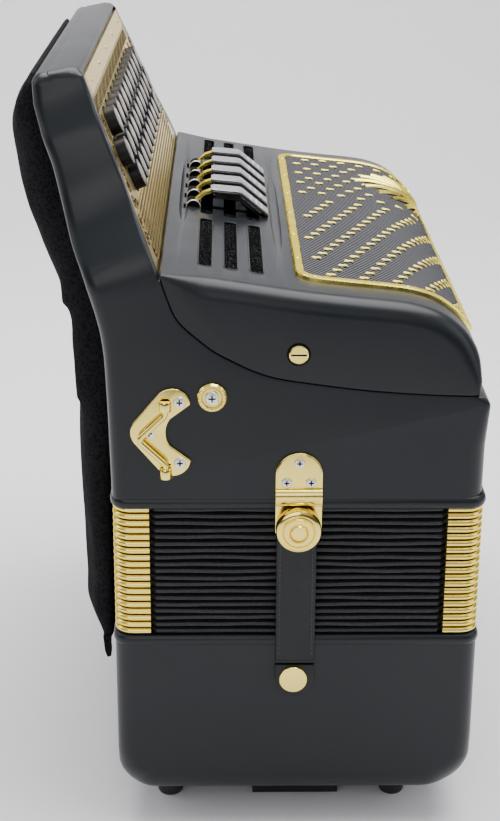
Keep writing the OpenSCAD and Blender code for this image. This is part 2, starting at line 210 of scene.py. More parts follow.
def rounded_prism(
    name, outline, radius, half, mat, levels=(), slope=0.0, rings=5, smooth=35, square_at=None
):
    """An X-Z outline drawn out along Y to +-half(x, z), its end edges rounded by radius(x, z)."""
    p = anticlockwise(outline)
    normal = outline_normals(p)
    if square_at is not None:
        for i, (x, z) in enumerate(p):
            if abs(z - square_at) < 0.2:
                normal[i] = (math.copysign(1.0, x), 0.0)
    r = np.array([radius(x, z) for x, z in p])
    verts, faces = [], []
    count = len(p)
    for sign in (1, -1):
        for k in range(rings + 1):
            a = math.pi / 2 * k / rings
            q = p - normal * (r * (1 - math.cos(a)))[:, None]
            dy = r * (math.sin(a) - 1)
            verts += [(q[i][0], sign * (UNIT + dy[i]), q[i][1]) for i in range(count)]
    size = rings + 1
    for side in range(2):
        base = side * size * count
        for k in range(rings):
            for i in range(count):
                j = (i + 1) % count
                a, b = base + k * count, base + (k + 1) * count
                faces.append((a + i, a + j, b + j, b + i))
        faces.append(tuple(base + rings * count + i for i in range(count)))
    for i in range(count):
        j = (i + 1) % count
        faces.append((i, j, size * count + j, size * count + i))
    mesh = bpy.data.meshes.new(name)
    mesh.from_pydata(verts, [], faces)
    bm = bmesh.new()
    bm.from_mesh(mesh)
    bmesh.ops.recalc_face_normals(bm, faces=bm.faces)
    for level in levels:
        geom = bm.verts[:] + bm.edges[:] + bm.faces[:]
        bmesh.ops.bisect_plane(bm, geom=geom, plane_co=(0, 0, level), plane_no=(-slope, 0, 1), dist=1e-4)
    for v in bm.verts:
        sign = 1 if v.co.y > 0 else -1
        dy = abs(v.co.y) - UNIT
        v.co.y = sign * (half(v.co.x, v.co.z) + dy)
        v.co = metres(v.co)
    bm.to_mesh(mesh)
    bm.free()
    return finish_mesh(name, mesh, mat, smooth)


def box_mesh(name, low, high, mat=None):
    (x0, y0, z0), (x1, y1, z1) = low, high
    pts = [(x, y, z) for x in (x0, x1) for y in (y0, y1) for z in (z0, z1)]
    faces = [(0, 1, 3, 2), (4, 6, 7, 5), (0, 4, 5, 1), (2, 3, 7, 6), (0, 2, 6, 4), (1, 5, 7, 3)]
    return add_mesh(name, pts, faces, mat)


def prism(name, outline, y0, y1, mat=None, smooth=35):
    p = anticlockwise(outline)
    n = len(p)
    pts = [(x, y0, z) for x, z in p] + [(x, y1, z) for x, z in p]
    faces = [tuple(range(n)), tuple(range(2 * n - 1, n - 1, -1))]
    faces += [(i, (i + 1) % n, n + (i + 1) % n, n + i) for i in range(n)]
    return add_mesh(name, pts, faces, mat, smooth)


def turned(name, centre, axis, section, mat, count=48, smooth=35):
    """Turns (radius, height) points about an axis through centre; the ends are closed."""
    axis = Vector(axis).normalized()
    side = axis.orthogonal().normalized()
    other = axis.cross(side)
    pts, faces = [], []
    for r, h in section:
        for k in range(count):
            a = 2 * math.pi * k / count
            pts.append(Vector(centre) + axis * h + (side * math.cos(a) + other * math.sin(a)) * r)
    for s in range(len(section) - 1):
        for k in range(count):
            j = (k + 1) % count
            faces.append((s * count + k, s * count + j, (s + 1) * count + j, (s + 1) * count + k))
    faces.append(tuple(range(count)))
    last = (len(section) - 1) * count
    faces.append(tuple(range(last, last + count)))
    return add_mesh(name, pts, faces, mat, smooth)


def sweep(name, path, section, mat, ups=None, closed=False, smooth=50):
    """Carries a closed (across, up) section along a path of points; ups are the up directions."""
    path = [Vector(p) for p in path]
    n, m = len(path), len(section)
    pts, faces = [], []
    for i, p in enumerate(path):
        if closed:
            tangent = path[(i + 1) % n] - path[i - 1]
        else:
            tangent = path[min(i + 1, n - 1)] - path[max(i - 1, 0)]
        tangent.normalize()
        up = Vector(ups[i] if ups else (0, 0, 1))
        across = tangent.cross(up).normalized()
        up = across.cross(tangent).normalized()
        for u, v in section:
            pts.append(p + across * u + up * v)
    for i in range(n if closed else n - 1):
        j = (i + 1) % n
        for k in range(m):
            l = (k + 1) % m
            faces.append((i * m + k, i * m + l, j * m + l, j * m + k))
    if not closed:
        faces.append(tuple(range(m)))
        faces.append(tuple(range((n - 1) * m, n * m)))
    return add_mesh(name, pts, faces, mat, smooth)


def circle_section(radius, count=16):
    angles = [2 * math.pi * k / count for k in range(count)]
    return [(radius * math.cos(a), radius * math.sin(a)) for a in angles]


# ---------------------------------------------------------------- materials


def principled(name, color, rough, metal=0.0, coat=0.0, sheen=0.0, specular=0.5):
    mat = bpy.data.materials.new(name)
    mat.use_nodes = True
    tree = mat.node_tree
    shader = tree.nodes["Principled BSDF"]
    shader.inputs["Base Color"].default_value = (*color, 1)
    shader.inputs["Roughness"].default_value = rough
    shader.inputs["Metallic"].default_value = metal
    shader.inputs["Coat Weight"].default_value = coat
    shader.inputs["Coat Roughness"].default_value = 0.15
    shader.inputs["Sheen Weight"].default_value = sheen
    shader.inputs["Specular IOR Level"].default_value = specular
    return mat, tree, shader


def node(tree, kind, **values):
    n = tree.nodes.new(kind)
    for key, value in values.items():
        if key in n.inputs:
            n.inputs[key].default_value = value
        else:
            setattr(n, key, value)
    return n


def link(tree, a, out, b, into):
    tree.links.new(a.outputs[out], b.inputs[into])


def object_coords(tree):
    return node(tree, "ShaderNodeTexCoord")


def add_bump(tree, shader, source, out, strength, distance):
    bump = node(tree, "ShaderNodeBump", Strength=strength, Distance=distance / 1000.0)
    link(tree, source, out, bump, "Height")
    link(tree, bump, "Normal", shader, "Normal")
    return bump


def ramp_color(tree, source, out, low, high, dark, light):
    ramp = node(tree, "ShaderNodeValToRGB")
    ramp.color_ramp.elements[0].position = low
    ramp.color_ramp.elements[0].color = (*dark, 1)
    ramp.color_ramp.elements[1].position = high
    ramp.color_ramp.elements[1].color = (*light, 1)
    link(tree, source, out, ramp, "Fac")
    return ramp


def ramp_value(tree, source, out, low, high, value_low, value_high):
    n = node(tree, "ShaderNodeMapRange")
    n.inputs["From Min"].default_value = low
    n.inputs["From Max"].default_value = high
    n.inputs["To Min"].default_value = value_low
    n.inputs["To Max"].default_value = value_high
    link(tree, source, out, n, "Value")
    return n


def varied(name, color, rough, spread=0.25, scale=400.0, **extra):
    """Material whose colour and roughness drift a little over the surface."""
    mat, tree, shader = principled(name, color, rough, **extra)
    coords = object_coords(tree)
    drift = node(tree, "ShaderNodeTexNoise", Scale=scale, Detail=4.0)
    link(tree, coords, "Object", drift, "Vector")
    low, high = (tuple(min(1.0, c * k) for c in color) for k in (1 - spread, 1 + spread))
    tint = ramp_color(tree, drift, "Fac", 0.35, 0.65, low, high)
    link(tree, tint, "Color", shader, "Base Color")
    value = ramp_value(tree, drift, "Fac", 0.35, 0.65, rough * 0.85, rough * 1.15)
    link(tree, value, "Result", shader, "Roughness")
    add_bump(tree, shader, drift, "Fac", 0.15, 0.05)
    return mat


def lacquer():
    mat, tree, shader = principled("satin_lacquer", (0.008, 0.010, 0.012), 0.36, coat=0.0, specular=0.32)
    coords = object_coords(tree)
    fine = node(tree, "ShaderNodeTexNoise", Scale=2600.0, Detail=3.0)
    link(tree, coords, "Object", fine, "Vector")
    add_bump(tree, shader, fine, "Fac", 0.05, 0.05)
    wear = node(tree, "ShaderNodeTexNoise", Scale=22.0, Detail=6.0)
    link(tree, coords, "Object", wear, "Vector")
    rough = ramp_value(tree, wear, "Fac", 0.3, 0.7, 0.31, 0.37)
    link(tree, rough, "Result", shader, "Roughness")
    tint = ramp_color(tree, wear, "Fac", 0.3, 0.7, (0.003, 0.005, 0.007), (0.006, 0.008, 0.010))
    link(tree, tint, "Color", shader, "Base Color")
    return mat


def gold(name="gilt", color=(0.93, 0.75, 0.19), rough=0.13, scratch=0.25):
    mat, tree, shader = principled(name, color, rough, metal=1.0)
    shader.inputs["Specular Tint"].default_value = (1.0, 0.88, 0.40, 1)
    coords = object_coords(tree)
    wear = node(tree, "ShaderNodeTexNoise", Scale=180.0, Detail=8.0)
    link(tree, coords, "Object", wear, "Vector")
    value = ramp_value(tree, wear, "Fac", 0.35, 0.7, rough * 0.75, rough * 1.5)
    link(tree, value, "Result", shader, "Roughness")
    lines = node(tree, "ShaderNodeTexNoise", Scale=900.0, Detail=4.0)
    link(tree, coords, "Object", lines, "Vector")
    add_bump(tree, shader, lines, "Fac", scratch * 0.2, 0.03)
    return mat


def steel(name="screw_steel", color=(0.78, 0.77, 0.76), rough=0.28):
    mat, tree, shader = principled(name, color, rough, metal=1.0)
    coords = object_coords(tree)
    wear = node(tree, "ShaderNodeTexNoise", Scale=600.0, Detail=5.0)
    link(tree, coords, "Object", wear, "Vector")
    value = ramp_value(tree, wear, "Fac", 0.3, 0.7, rough * 0.8, rough * 1.4)
    link(tree, value, "Result", shader, "Roughness")
    return mat


def bellows_cloth():
    mat, tree, shader = principled("bellows_cloth", (0.02, 0.021, 0.024), 0.5, specular=0.35)
    coords = object_coords(tree)
    grain = node(tree, "ShaderNodeTexNoise", Scale=1500.0, Detail=4.0)
    link(tree, coords, "Object", grain, "Vector")
    tint = ramp_color(tree, grain, "Fac", 0.4, 0.7, (0.004, 0.004, 0.005), (0.022, 0.023, 0.026))
    link(tree, tint, "Color", shader, "Base Color")
    add_bump(tree, shader, grain, "Fac", 0.5, 0.15)
    return mat


def pad_cloth():
    mat, tree, shader = principled("pad_mesh_fabric", (0.008, 0.008, 0.009), 0.9, specular=0.08)
    coords = object_coords(tree)
    cells = node(tree, "ShaderNodeTexVoronoi", Scale=620.0)
    link(tree, coords, "Object", cells, "Vector")
    tint = ramp_color(tree, cells, "Distance", 0.1, 0.6, (0.002, 0.002, 0.003), (0.012, 0.012, 0.013))
    link(tree, tint, "Color", shader, "Base Color")
    add_bump(tree, shader, cells, "Distance", 0.6, 0.4)
    return mat


def leather():
    mat, tree, shader = principled("strap_leather", (0.007, 0.008, 0.009), 0.45, specular=0.3)
    coords = object_coords(tree)
    grain = node(tree, "ShaderNodeTexVoronoi", Scale=900.0)
    link(tree, coords, "Object", grain, "Vector")
    add_bump(tree, shader, grain, "Distance", 0.25, 0.12)
    cloud = node(tree, "ShaderNodeTexNoise", Scale=120.0, Detail=5.0)
    link(tree, coords, "Object", cloud, "Vector")
    value = ramp_value(tree, cloud, "Fac", 0.3, 0.7, 0.36, 0.52)
    link(tree, value, "Result", shader, "Roughness")
    return mat


def rubber():
    mat, tree, shader = principled("foot_rubber", (0.012, 0.012, 0.013), 0.6)
    coords = object_coords(tree)
    grain = node(tree, "ShaderNodeTexNoise", Scale=1400.0, Detail=3.0)
    link(tree, coords, "Object", grain, "Vector")
    add_bump(tree, shader, grain, "Fac", 0.3, 0.08)
    return mat


def foam():
    mat, tree, shader = principled("slot_foam", (0.01, 0.01, 0.011), 0.95, specular=0.0)
    coords = object_coords(tree)
    grain = node(tree, "ShaderNodeTexNoise", Scale=1500.0, Detail=2.0, Roughness=0.6)
    link(tree, coords, "Object", grain, "Vector")
    tint = ramp_color(tree, grain, "Fac", 0.60, 0.70, (0.003, 0.003, 0.003), (0.12, 0.12, 0.13))
    link(tree, tint, "Color", shader, "Base Color")
    add_bump(tree, shader, grain, "Fac", 1.0, 0.7)
    return mat


def plate_material():
    """Pale gold plate with an engraved look outside the buttons, in plate coordinates (Y, down)."""
    mat, tree, shader = principled("engraved_plate", (0.86, 0.72, 0.34), 0.28, metal=1.0)
    shader.inputs["Specular Tint"].default_value = (1.0, 0.95, 0.78, 1)
    uv = node(tree, "ShaderNodeUVMap", uv_map="plate")
    split = node(tree, "ShaderNodeSeparateXYZ")
    link(tree, uv, "UV", split, "Vector")
    scroll = node(tree, "ShaderNodeTexWave", Scale=0.11, Distortion=9.0, Detail=2.0)
    scroll.inputs["Detail Scale"].default_value = 0.12
    link(tree, uv, "UV", scroll, "Vector")
    sharp = ramp_value(tree, scroll, "Fac", 0.35, 0.65, 0.0, 1.0)
    outer = node(tree, "ShaderNodeMath", operation="COMPARE")
    outer.inputs[1].default_value = 124.0
    outer.inputs[2].default_value = 11.0
    side = node(tree, "ShaderNodeMath", operation="ABSOLUTE")
    link(tree, split, "X", side, 0)
    link(tree, side, "Value", outer, 0)
    comb = node(tree, "ShaderNodeTexWave", Scale=0.16, Distortion=0.6, bands_direction="DIAGONAL")
    link(tree, uv, "UV", comb, "Vector")
    near_rows = node(tree, "ShaderNodeMath", operation="COMPARE")
    near_rows.inputs[1].default_value = 14.0
    near_rows.inputs[2].default_value = 3.8
    link(tree, split, "Y", near_rows, 0)
    a = node(tree, "ShaderNodeMath", operation="MULTIPLY")
    link(tree, sharp, "Result", a, 0)
    link(tree, outer, "Value", a, 1)
    b = node(tree, "ShaderNodeMath", operation="MULTIPLY")
    link(tree, comb, "Fac", b, 0)
    link(tree, near_rows, "Value", b, 1)
    total = node(tree, "ShaderNodeMath", operation="ADD")
    link(tree, a, "Value", total, 0)
    link(tree, b, "Value", total, 1)
    add_bump(tree, shader, total, "Value", 0.8, 0.5)
    tint = ramp_color(tree, total, "Value", 0.0, 1.0, (0.88, 0.73, 0.36), (0.30, 0.22, 0.08))
    link(tree, tint, "Color", shader, "Base Color")
    return mat


def grille_cloth_material():
    mat, tree, shader = principled("ribbed_grille_cloth", (0.03, 0.03, 0.033), 0.85, specular=0.0)
    uv = node(tree, "ShaderNodeUVMap", uv_map="cloth")
    ribs = node(tree, "ShaderNodeTexWave", Scale=0.19, Distortion=0.0, bands_direction="DIAGONAL")
    link(tree, uv, "UV", ribs, "Vector")
    tint = ramp_color(tree, ribs, "Fac", 0.40, 0.66, (0.001, 0.001, 0.0015), (0.15, 0.15, 0.16))
    link(tree, tint, "Color", shader, "Base Color")
    add_bump(tree, shader, ribs, "Fac", 0.9, 0.4)
    return mat


def silver():
    return steel("register_silver", (0.50, 0.50, 0.53), 0.3)


def wood():
    mat, tree, shader = principled("reed_block_wood", (0.5, 0.34, 0.18), 0.55)
    coords = object_coords(tree)
    grain = node(tree, "ShaderNodeTexWave", Scale=60.0, Distortion=6.0, Detail=3.0)
    link(tree, coords, "Object", grain, "Vector")
    tint = ramp_color(tree, grain, "Fac", 0.2, 0.9, (0.42, 0.27, 0.13), (0.60, 0.43, 0.24))
    link(tree, tint, "Color", shader, "Base Color")
    return mat


LACQUER = lacquer()
GOLD = gold()
GOLD_FLAT = gold("gilt_frame", (1.0, 0.84, 0.18), 0.24, 0.15)
STEEL = steel()
# Near-black matte: the rollers' own black, and painted shade for the dash shadows, the screws' cross slots
# and the cover pin's slot and ring.
BLACK_AND_PAINTED_SHADE = varied("black_and_painted_shade", (0.003, 0.003, 0.003), 0.8, specular=0.1)
BELLOWS = bellows_cloth()
PAD = pad_cloth()
LEATHER = leather()
THREAD = varied("stitch_thread", (0.03, 0.03, 0.033), 0.6, scale=2500.0)
RUBBER = rubber()
FOAM = foam()
BRONZE = varied("engraved_lines", (0.05, 0.035, 0.012), 0.7, specular=0.05)
PLATE = plate_material()
CLOTH = grille_cloth_material()
SILVER = silver()
GLOSS = varied("gloss_black", (0.012, 0.012, 0.013), 0.24, scale=90.0)
# Pearl tops of the treble and bass buttons: a greyish pearl tone, darkened further as painted shade.
PEARL_WITH_PAINTED_SHADE = varied("button_pearl", (0.36, 0.32, 0.29), 0.5, spread=0.35, scale=160.0, specular=0.25)
KEY = varied("button_black", (0.008, 0.008, 0.009), 0.34, scale=90.0, specular=0.2)
WOOD = wood()
STONE = varied("cut_stone", (0.75, 0.75, 0.78), 0.08, spread=0.1, scale=900.0, coat=1.0)

# ---------------------------------------------------------------- treble end case

SEAM = [
    (-64.1, 187.4), (-60.9, 177.3), (-57.5, 168.8), (-53.6, 163.6), (-46.2, 157),
    (-39.3, 151.6), (-30.7, 146.9), (-22, 142.7), (-10.3, 138.9), (11.1, 135.6),
    (28.6, 133.4), (46.1, 131.9), (63.7, 130.9), (81.0, 130.4),
]
ARM_BACK = [
    (-121.6, 256), (-117.5, 243.1), (-112.7, 230.5), (-109, 215.6), (-104.3, 198.8),
    (-98.5, 184.8), (-93, 166.5), (-90.2, 150), (-89, 125), (-88.3, 98), (-87.8, 75.6),
]


def case_outline():
    front = [(86.7, CASE_FOOT), (87, 105), (87.6, 121)] + arc(81.6, 124.4, 6.0, 5, 88, 8)
    seam = smooth_line(SEAM[::-1], 3.0)
    plate = [(-64.3, 185.4), tuple(PLATE_TOP.xz)]
    top = [(-101.0, 272.3), (-104.5, 272.6), (-115.0, 270.6)] + arc(-116.6, 264.6, 5.6, 75, 190, 7)
    back = smooth_line(ARM_BACK, 3.0)
    return front + seam[1:-1] + plate + top + back


SIDE_LINE = [
    (150, 163), (172, 163), (182, 162.2), (190, 158.5), (200, 151.5), (210, 145.0), (222, 140.0),
    (236, 137.2), (248, 134.0), (258, 128.5), (268, 124.0), (280, 122.0),
]
SIDE_SLOPE = 0.39
SIDE_X = 95.0  # levels are counted at this distance behind the middle


def arm_half(x, z):
    """Half length of the case: full in the body, drawn in towards the top of the arm."""
    level = z - SIDE_SLOPE * (x + SIDE_X) if x < 0 else 0
    zs, ys = zip(*SIDE_SLOPED)
    return min(HALF_Y, float(np.interp(level, zs, ys)))


SIDE_SLOPED = [tuple(p) for p in smooth_line(SIDE_LINE, 2.0)]


def case_radius(x, z):
    """Wide upright edges, close edges at the seam and at the button plate."""
    if x > 80:
        return float(np.interp(z, (112, 127), (EDGE, 2.0)))
    on_plate = (Vector((x, 0, z)) - PLATE_TOP).dot(PLATE_OUT) > -1.0
    if on_plate and z > 186:
        return 1.6
    if z > 120 and x > -66:
        return 0.7
    return float(np.interp(z, (150, 190), (EDGE - 2, 5.5)))


def treble_case():
    levels = np.arange(150, 284, 4.0)
    shell = rounded_prism(
        "treble_shell", case_outline(), case_radius, arm_half, LACQUER,
        levels=[z + SIDE_SLOPE * SIDE_X for z in levels], slope=SIDE_SLOPE, square_at=CASE_FOOT,
    )
    hollow = [
        (-84, 60), (82.2, 60), (82.2, 126), (77, 126), (77, 148), (-50, 182), (-61.5, 177.5), (-66, 183.2),
        (-69.5, 181.5), (-101.6, 261), (-104, 266.2), (-112, 265), (-115.6, 261), (-114.8, 255),
        (-111.5, 244.5), (-107, 231.8), (-103.5, 217), (-98.9, 200.4), (-93.1, 186.3), (-87.8, 166.9),
        (-85.2, 150.5), (-84.3, 125),
    ]
    inner = rounded_prism(
        "hollow", hollow, lambda x, z: 0.2, lambda x, z: arm_half(x, z) - WALL, LACQUER,
        levels=[z + SIDE_SLOPE * SIDE_X for z in levels[::3]], slope=SIDE_SLOPE, rings=1,
    )
    window = plate_block("window", [(7, 120.8), (75, 120.8), (75, -120.8), (7, -120.8)], -9, 6)
    recess = plate_block("recess", plate_edge(0.25), -1.65, 8)
    return cut(shell, inner, window, recess, smooth=32)


def plate_point(h, y, s):
    p = PLATE_TOP + PLATE_OUT * h + PLATE_DOWN * s
    return Vector((p.x, y, p.z))


def plate_edge(grow):
    half = [(-1 - grow * 0.2, 119), (12, 122), (50, 135), (91, 154)]
    return [(s, y + grow) for s, y in half] + [(s, -y - grow) for s, y in half[::-1]]


def plate_block(name, edge, low, high, mat=None):
    n = len(edge)
    pts = [plate_point(low, y, s) for s, y in edge] + [plate_point(high, y, s) for s, y in edge]
    faces = [tuple(range(n)), tuple(range(2 * n - 1, n - 1, -1))]
    faces += [(i, (i + 1) % n, n + (i + 1) % n, n + i) for i in range(n)]
    return add_mesh(name, pts, faces, mat)


def rim(name, z0, z1):
    """Half-round bead round an end where it meets the bellows."""
    ring = rectangle_ring(HALF_X + BEAD_OUT, HALF_Y + BEAD_OUT, EDGE, 8)
    path = [(x, y, (z0 + z1) / 2) for x, y in ring]
    h = (z1 - z0) / 2
    section = [(-4.0, -h * 0.4)]
    for a in range(-84, 85, 21):
        section.append((1.9 * (math.cos(math.radians(a)) - 1), h * math.sin(math.radians(a))))
    section.append((-4.0, h * 0.6))
    return sweep(name, path, section, LACQUER, closed=True)


def rectangle_ring(hx, hy, corner, count=5):
    pts = []
    for cx, cy, start in ((1, 1, 0), (-1, 1, 90), (-1, -1, 180), (1, -1, 270)):
        pts += arc(cx * (hx - corner), cy * (hy - corner), corner, start, start + 90, count)
    return pts


shell = treble_case()
place(shell, TREBLE, "case_black", "treble_case")
bead = rim("treble_rim", 74.2, 80.2)
place(bead, TREBLE, "case_black")

# ---------------------------------------------------------------- grille cover

COVER_TOP = [
    (83.2, 136.9), (82.1, 147.5), (79.1, 154.2), (74.6, 160.4),
    (69.1, 165.2), (63.2, 168.9), (54.9, 171.9),
    (44.4, 173.9), (22, 176.2), (-0.8, 178.9), (-30, 183.3), (-60.0, 187.8),
]


def cover_outline():
    top = smooth_line(COVER_TOP, 3.0)
    seam = smooth_line(SEAM, 3.0)
    seam = [(x + 0.15, z + 0.35) for x, z in seam[1:-1]]
    return [(82.2, 131.2)] + top + [(-63.4, 188.2), (-64.1, 187.2)] + seam


def cover_radius(x, z):
    over_seam = min(math.hypot(x - a, z - b) for a, b in smooth_line(SEAM, 3.0))
    return min(9.0, 0.6 + over_seam * 0.45)


def on_cover(u):
    """Point and outward normal of the cover's top, at u forward of the grille's left edge."""
    line = COVER_LINE
    u = max(0.0, min(u, COVER_LENGTHS[-1]))
    k = int(np.searchsorted(COVER_LENGTHS, u, side="right") - 1)
    k = min(k, len(line) - 2)
    a, b = np.array(line[k]), np.array(line[k + 1])
    t = (u - COVER_LENGTHS[k]) / max(COVER_LENGTHS[k + 1] - COVER_LENGTHS[k], 1e-6)
    p = a + (b - a) * t
    k2 = max(0, k - 1)
    k3 = min(len(line) - 1, k + 2)
    d = np.array(line[k3]) - np.array(line[k2])
    d = d / np.linalg.norm(d)
    return p, np.array([-d[1], d[0]])


def cover_line():
    full = smooth_line(COVER_TOP, 1.5)[::-1]
    return [p for p in full if p[0] > -2.7]


COVER_LINE = cover_line()
COVER_STEPS = [np.linalg.norm(np.array(b) - np.array(a)) for a, b in zip(COVER_LINE, COVER_LINE[1:])]
COVER_LENGTHS = np.concatenate([[0], np.cumsum(COVER_STEPS)])


def cover_point(u, y, lift):
    p, n = on_cover(u)
    q = p + n * lift
    return Vector((q[0], y, q[1]))


REGISTER_Y = [72 - 23.8 * k for k in range(5)]
SLOT_X = (-44, -32, -20)


def slotted(name, x, y0, y1, half_width=3.2, z0=170, z1=200):
    corner = 3.0
    pts = []
    for cx, cy, start in ((1, 1, 0), (-1, 1, 90), (-1, -1, 180), (1, -1, 270)):
        yy = y1 if cy > 0 else y0
        pts += arc(x + cx * (half_width - corner), yy - cy * corner, corner, start, start + 90, 4)
    n = len(pts)
    verts = [(px, py, z0) for px, py in pts] + [(px, py, z1) for px, py in pts]
    faces = [tuple(range(n)), tuple(range(2 * n - 1, n - 1, -1))]
    faces += [(i, (i + 1) % n, n + (i + 1) % n, n + i) for i in range(n)]
    return add_mesh(name, verts, faces, None)


def panel_top(x):
    """Height of the flat panel round the registers."""
    line = sorted(COVER_TOP)
    return float(np.interp(x, [p[0] for p in line], [p[1] for p in line]))


def groove(x, middle, half):
    """Shallow furrow along the panel that fades out at both ends."""
    big, deep = 1.6, 1.5
    section = []
    for k in range(21):
        t = -1 + k / 10
        section.append((big - 0.4 + (deep + 0.4) * (1 - t**4), half * t))
    return turned("groove", (x, middle, panel_top(x) + big), (0, 1, 0), section, None, 48)


def grille_cover():
    shell = rounded_prism(
        "grille_cover_shell", cover_outline(), cover_radius, lambda x, z: HALF_Y, LACQUER, rings=8
    )
    inside = [
        (-61, 184.8), (-60.9, 120), (79.9, 120), (80, 136.5), (79, 146.3), (76.4, 152.3), (72.3, 157.9),
        (67.3, 162.3), (62, 165.6), (54.1, 168.4), (43.9, 170.6), (-1, 175.5),
    ]
    cutters = [prism("inside", inside, -HALF_Y + 4.5, HALF_Y - 4.5)]
    for x in SLOT_X:
        cutters.append(slotted("slot", x, -138, -50))
        cutters.append(slotted("slot", x, 90, 148))
        cutters.append(slotted("slot", x, -40, 84))
    for y in REGISTER_Y:
        cutters.append(box_mesh("hole", (-56.2, y - 5.0, 170), (-45.8, y + 5.0, 200)))
        cutters.append(box_mesh("gap", (-42, y - 3, 170), (-12, y + 3, 200)))
    cutters.append(groove(-55.5, 14, 81))
    cutters.append(groove(-8.2, -10.5, 90))
    return cut(shell, *cutters, smooth=32)


cover = grille_cover()
place(cover, TREBLE, "case_black", "grille_cover")


def slot_foam():
    """Open-cell foam behind the slots, its face rough, and the slots' bright lips."""
    pieces, lips = [], []
    for x in SLOT_X:
        for y0, y1 in ((-138, -50), (90, 148), (-40, -30)):
            pts, faces = [], []
            columns, rows = 8, int((y1 - y0) / 0.9)
            for i in range(rows + 1):
                y = y0 - 1 + (y1 - y0 + 2) * i / rows
                for j in range(columns + 1):
                    px = x - 4.2 + 8.4 * j / columns
                    bump = noise(Vector((px * 1.9, y * 1.9, 0.0))) * 0.35
                    pts.append((px, y, panel_top(px) - 0.9 + bump))
            width = columns + 1
            count = len(pts)
            pts += [(px, py, pz - 2.0) for px, py, pz in pts]
            for i in range(rows):
                for j in range(columns):
                    a = i * width + j
                    faces.append((a, a + 1, a + width + 1, a + width))
                    faces.append((count + a, count + a + width, count + a + width + 1, count + a + 1))
            edge = list(range(width)) + [width * k + columns for k in range(1, rows + 1)]
            edge += [width * rows + k for k in range(columns - 1, -1, -1)]
            edge += [width * k for k in range(rows - 1, 0, -1)]
            for k, a in enumerate(edge):
                b = edge[(k + 1) % len(edge)]
                faces.append((a, b, count + b, count + a))
            pieces.append(add_mesh("foam", pts, faces, FOAM, 80))
            if y1 == -30:
                continue
            path = []
            for cx, cy, start in ((1, 1, 0), (-1, 1, 90), (-1, -1, 180), (1, -1, 270)):
                yy = y1 if cy > 0 else y0
                for px, py in arc(x + cx * 0.4, yy - cy * 2.8, 2.9, start, start + 90, 5):
                    path.append((px, py, panel_top(px) - 0.12))
            lips.append(sweep("lip", path, circle_section(0.42, 8), LACQUER, closed=True))
    return join("slot_foam", pieces), join("slot_lips", lips)


slot_pad, slot_lips = slot_foam()
place(slot_pad, TREBLE, "cloth_black")
place(slot_lips, TREBLE, "case_black")


def frame_ring(inset, corner, count=8):
    """Rounded rectangle of (u, y) points on the cover's top."""
    u0, u1 = inset, COVER_LENGTHS[-1] - 14 - inset
    y1 = HALF_Y - 26 - inset
    pts = []
    for cu, cy, start in ((1, 1, 0), (-1, 1, 90), (-1, -1, 180), (1, -1, 270)):
        uu = u1 if cu > 0 else u0
        pts += arc(uu - cu * corner, cy * (y1 - corner), corner, start, start + 90, count)
    return pts


def spread(ring, step=4.0):
    """Adds points along the long sides of a closed ring."""
    out = []
    for i, p in enumerate(ring):
        q = ring[(i + 1) % len(ring)]
        n = max(1, int(math.dist(p, q) / step))
        out += [(p[0] + (q[0] - p[0]) * k / n, p[1] + (q[1] - p[1]) * k / n) for k in range(n)]
    return out


def grille_frame():
    centre = spread(frame_ring(2.1, 9.0))
    path = [cover_point(u, y, 0.9) for u, y in centre]
    ups = []
    for u, y in centre:
        _, n = on_cover(u)
        ups.append((n[0], 0, n[1]))
    section = [(-2.1, -1.0), (2.1, -1.0), (2.1, 0.35), (1.6, 0.9), (-1.6, 0.9), (-2.1, 0.35)]
    ring = sweep("grille_frame_ring", path, section, GOLD_FLAT, ups=ups, closed=True, smooth=30)
    pins = []
    pin = [(0.75, -0.6), (0.7, 0.1), (0.35, 0.35)]
    for u, y in centre[::11]:
        _, n = on_cover(u)
        pins.append(turned("pin", cover_point(u, y, 1.7), (n[0], 0, n[1]), pin, GOLD, 12))
    return ring, join("grille_pins", pins)


ring, pins = grille_frame()
place(ring, TREBLE, "gold", "grille_frame")
place(pins, TREBLE, "gold")


def cloth_sheet():
    inset = 3.8
    u0, u1 = inset, COVER_LENGTHS[-1] - 14 - inset
    y1 = HALF_Y - 26 - inset
    nu, ny = 70, 90
    pts, faces, uvs = [], [], []
    for lift in (0.75, -0.2):
        for i in range(nu + 1):
            for j in range(ny + 1):
                u = u0 + (u1 - u0) * i / nu
                y = -y1 + 2 * y1 * j / ny
                pts.append(cover_point(u, y, lift))
                uvs.append((u, y))
    n = (nu + 1) * (ny + 1)
    for layer in range(2):
        for i in range(nu):
            for j in range(ny):
                a = layer * n + i * (ny + 1) + j
                faces.append((a, a + 1, a + ny + 2, a + ny + 1))
    edge = [i * (ny + 1) for i in range(nu + 1)] + [nu * (ny + 1) + j for j in range(1, ny + 1)]
    edge += [i * (ny + 1) + ny for i in range(nu - 1, -1, -1)] + list(range(ny - 1, 0, -1))
    for k, a in enumerate(edge):
        b = edge[(k + 1) % len(edge)]
        faces.append((a, b, b + n, a + n))
    obj = add_mesh("grille_cloth_sheet", pts, faces, CLOTH, 60)
    layer = obj.data.uv_layers.new(name="cloth")
    for loop in obj.data.loops:
        layer.data[loop.index].uv = uvs[loop.vertex_index]
    return obj


place(cloth_sheet(), TREBLE, "cloth_black", "grille_cloth")


def dash_places():
    """Leaning rows over the near half, a staggered field over the far half."""
    limit_u, limit_y = COVER_LENGTHS[-1] - 14 - 8.5, HALF_Y - 34
    places = []
    for row in range(-4, 7):
        for k in range(17):
            y = -126.5 + 9.2 * k
            places.append((11.3 + 15.7 * row + 0.375 * (y + 100), y))
    for k in range(8):
        y = 38 + 12.5 * k
        for column in range(9):
            places.append((11 + 11 * column + (5.5 if k % 2 else 0), y + 2.5 * math.sin(column * 1.3)))
    for u, y in places:
        near_emblem = u > 50 and 42 < y < 118
        if 9.5 < u < limit_u and abs(y) < limit_y and not near_emblem:
            yield u, y


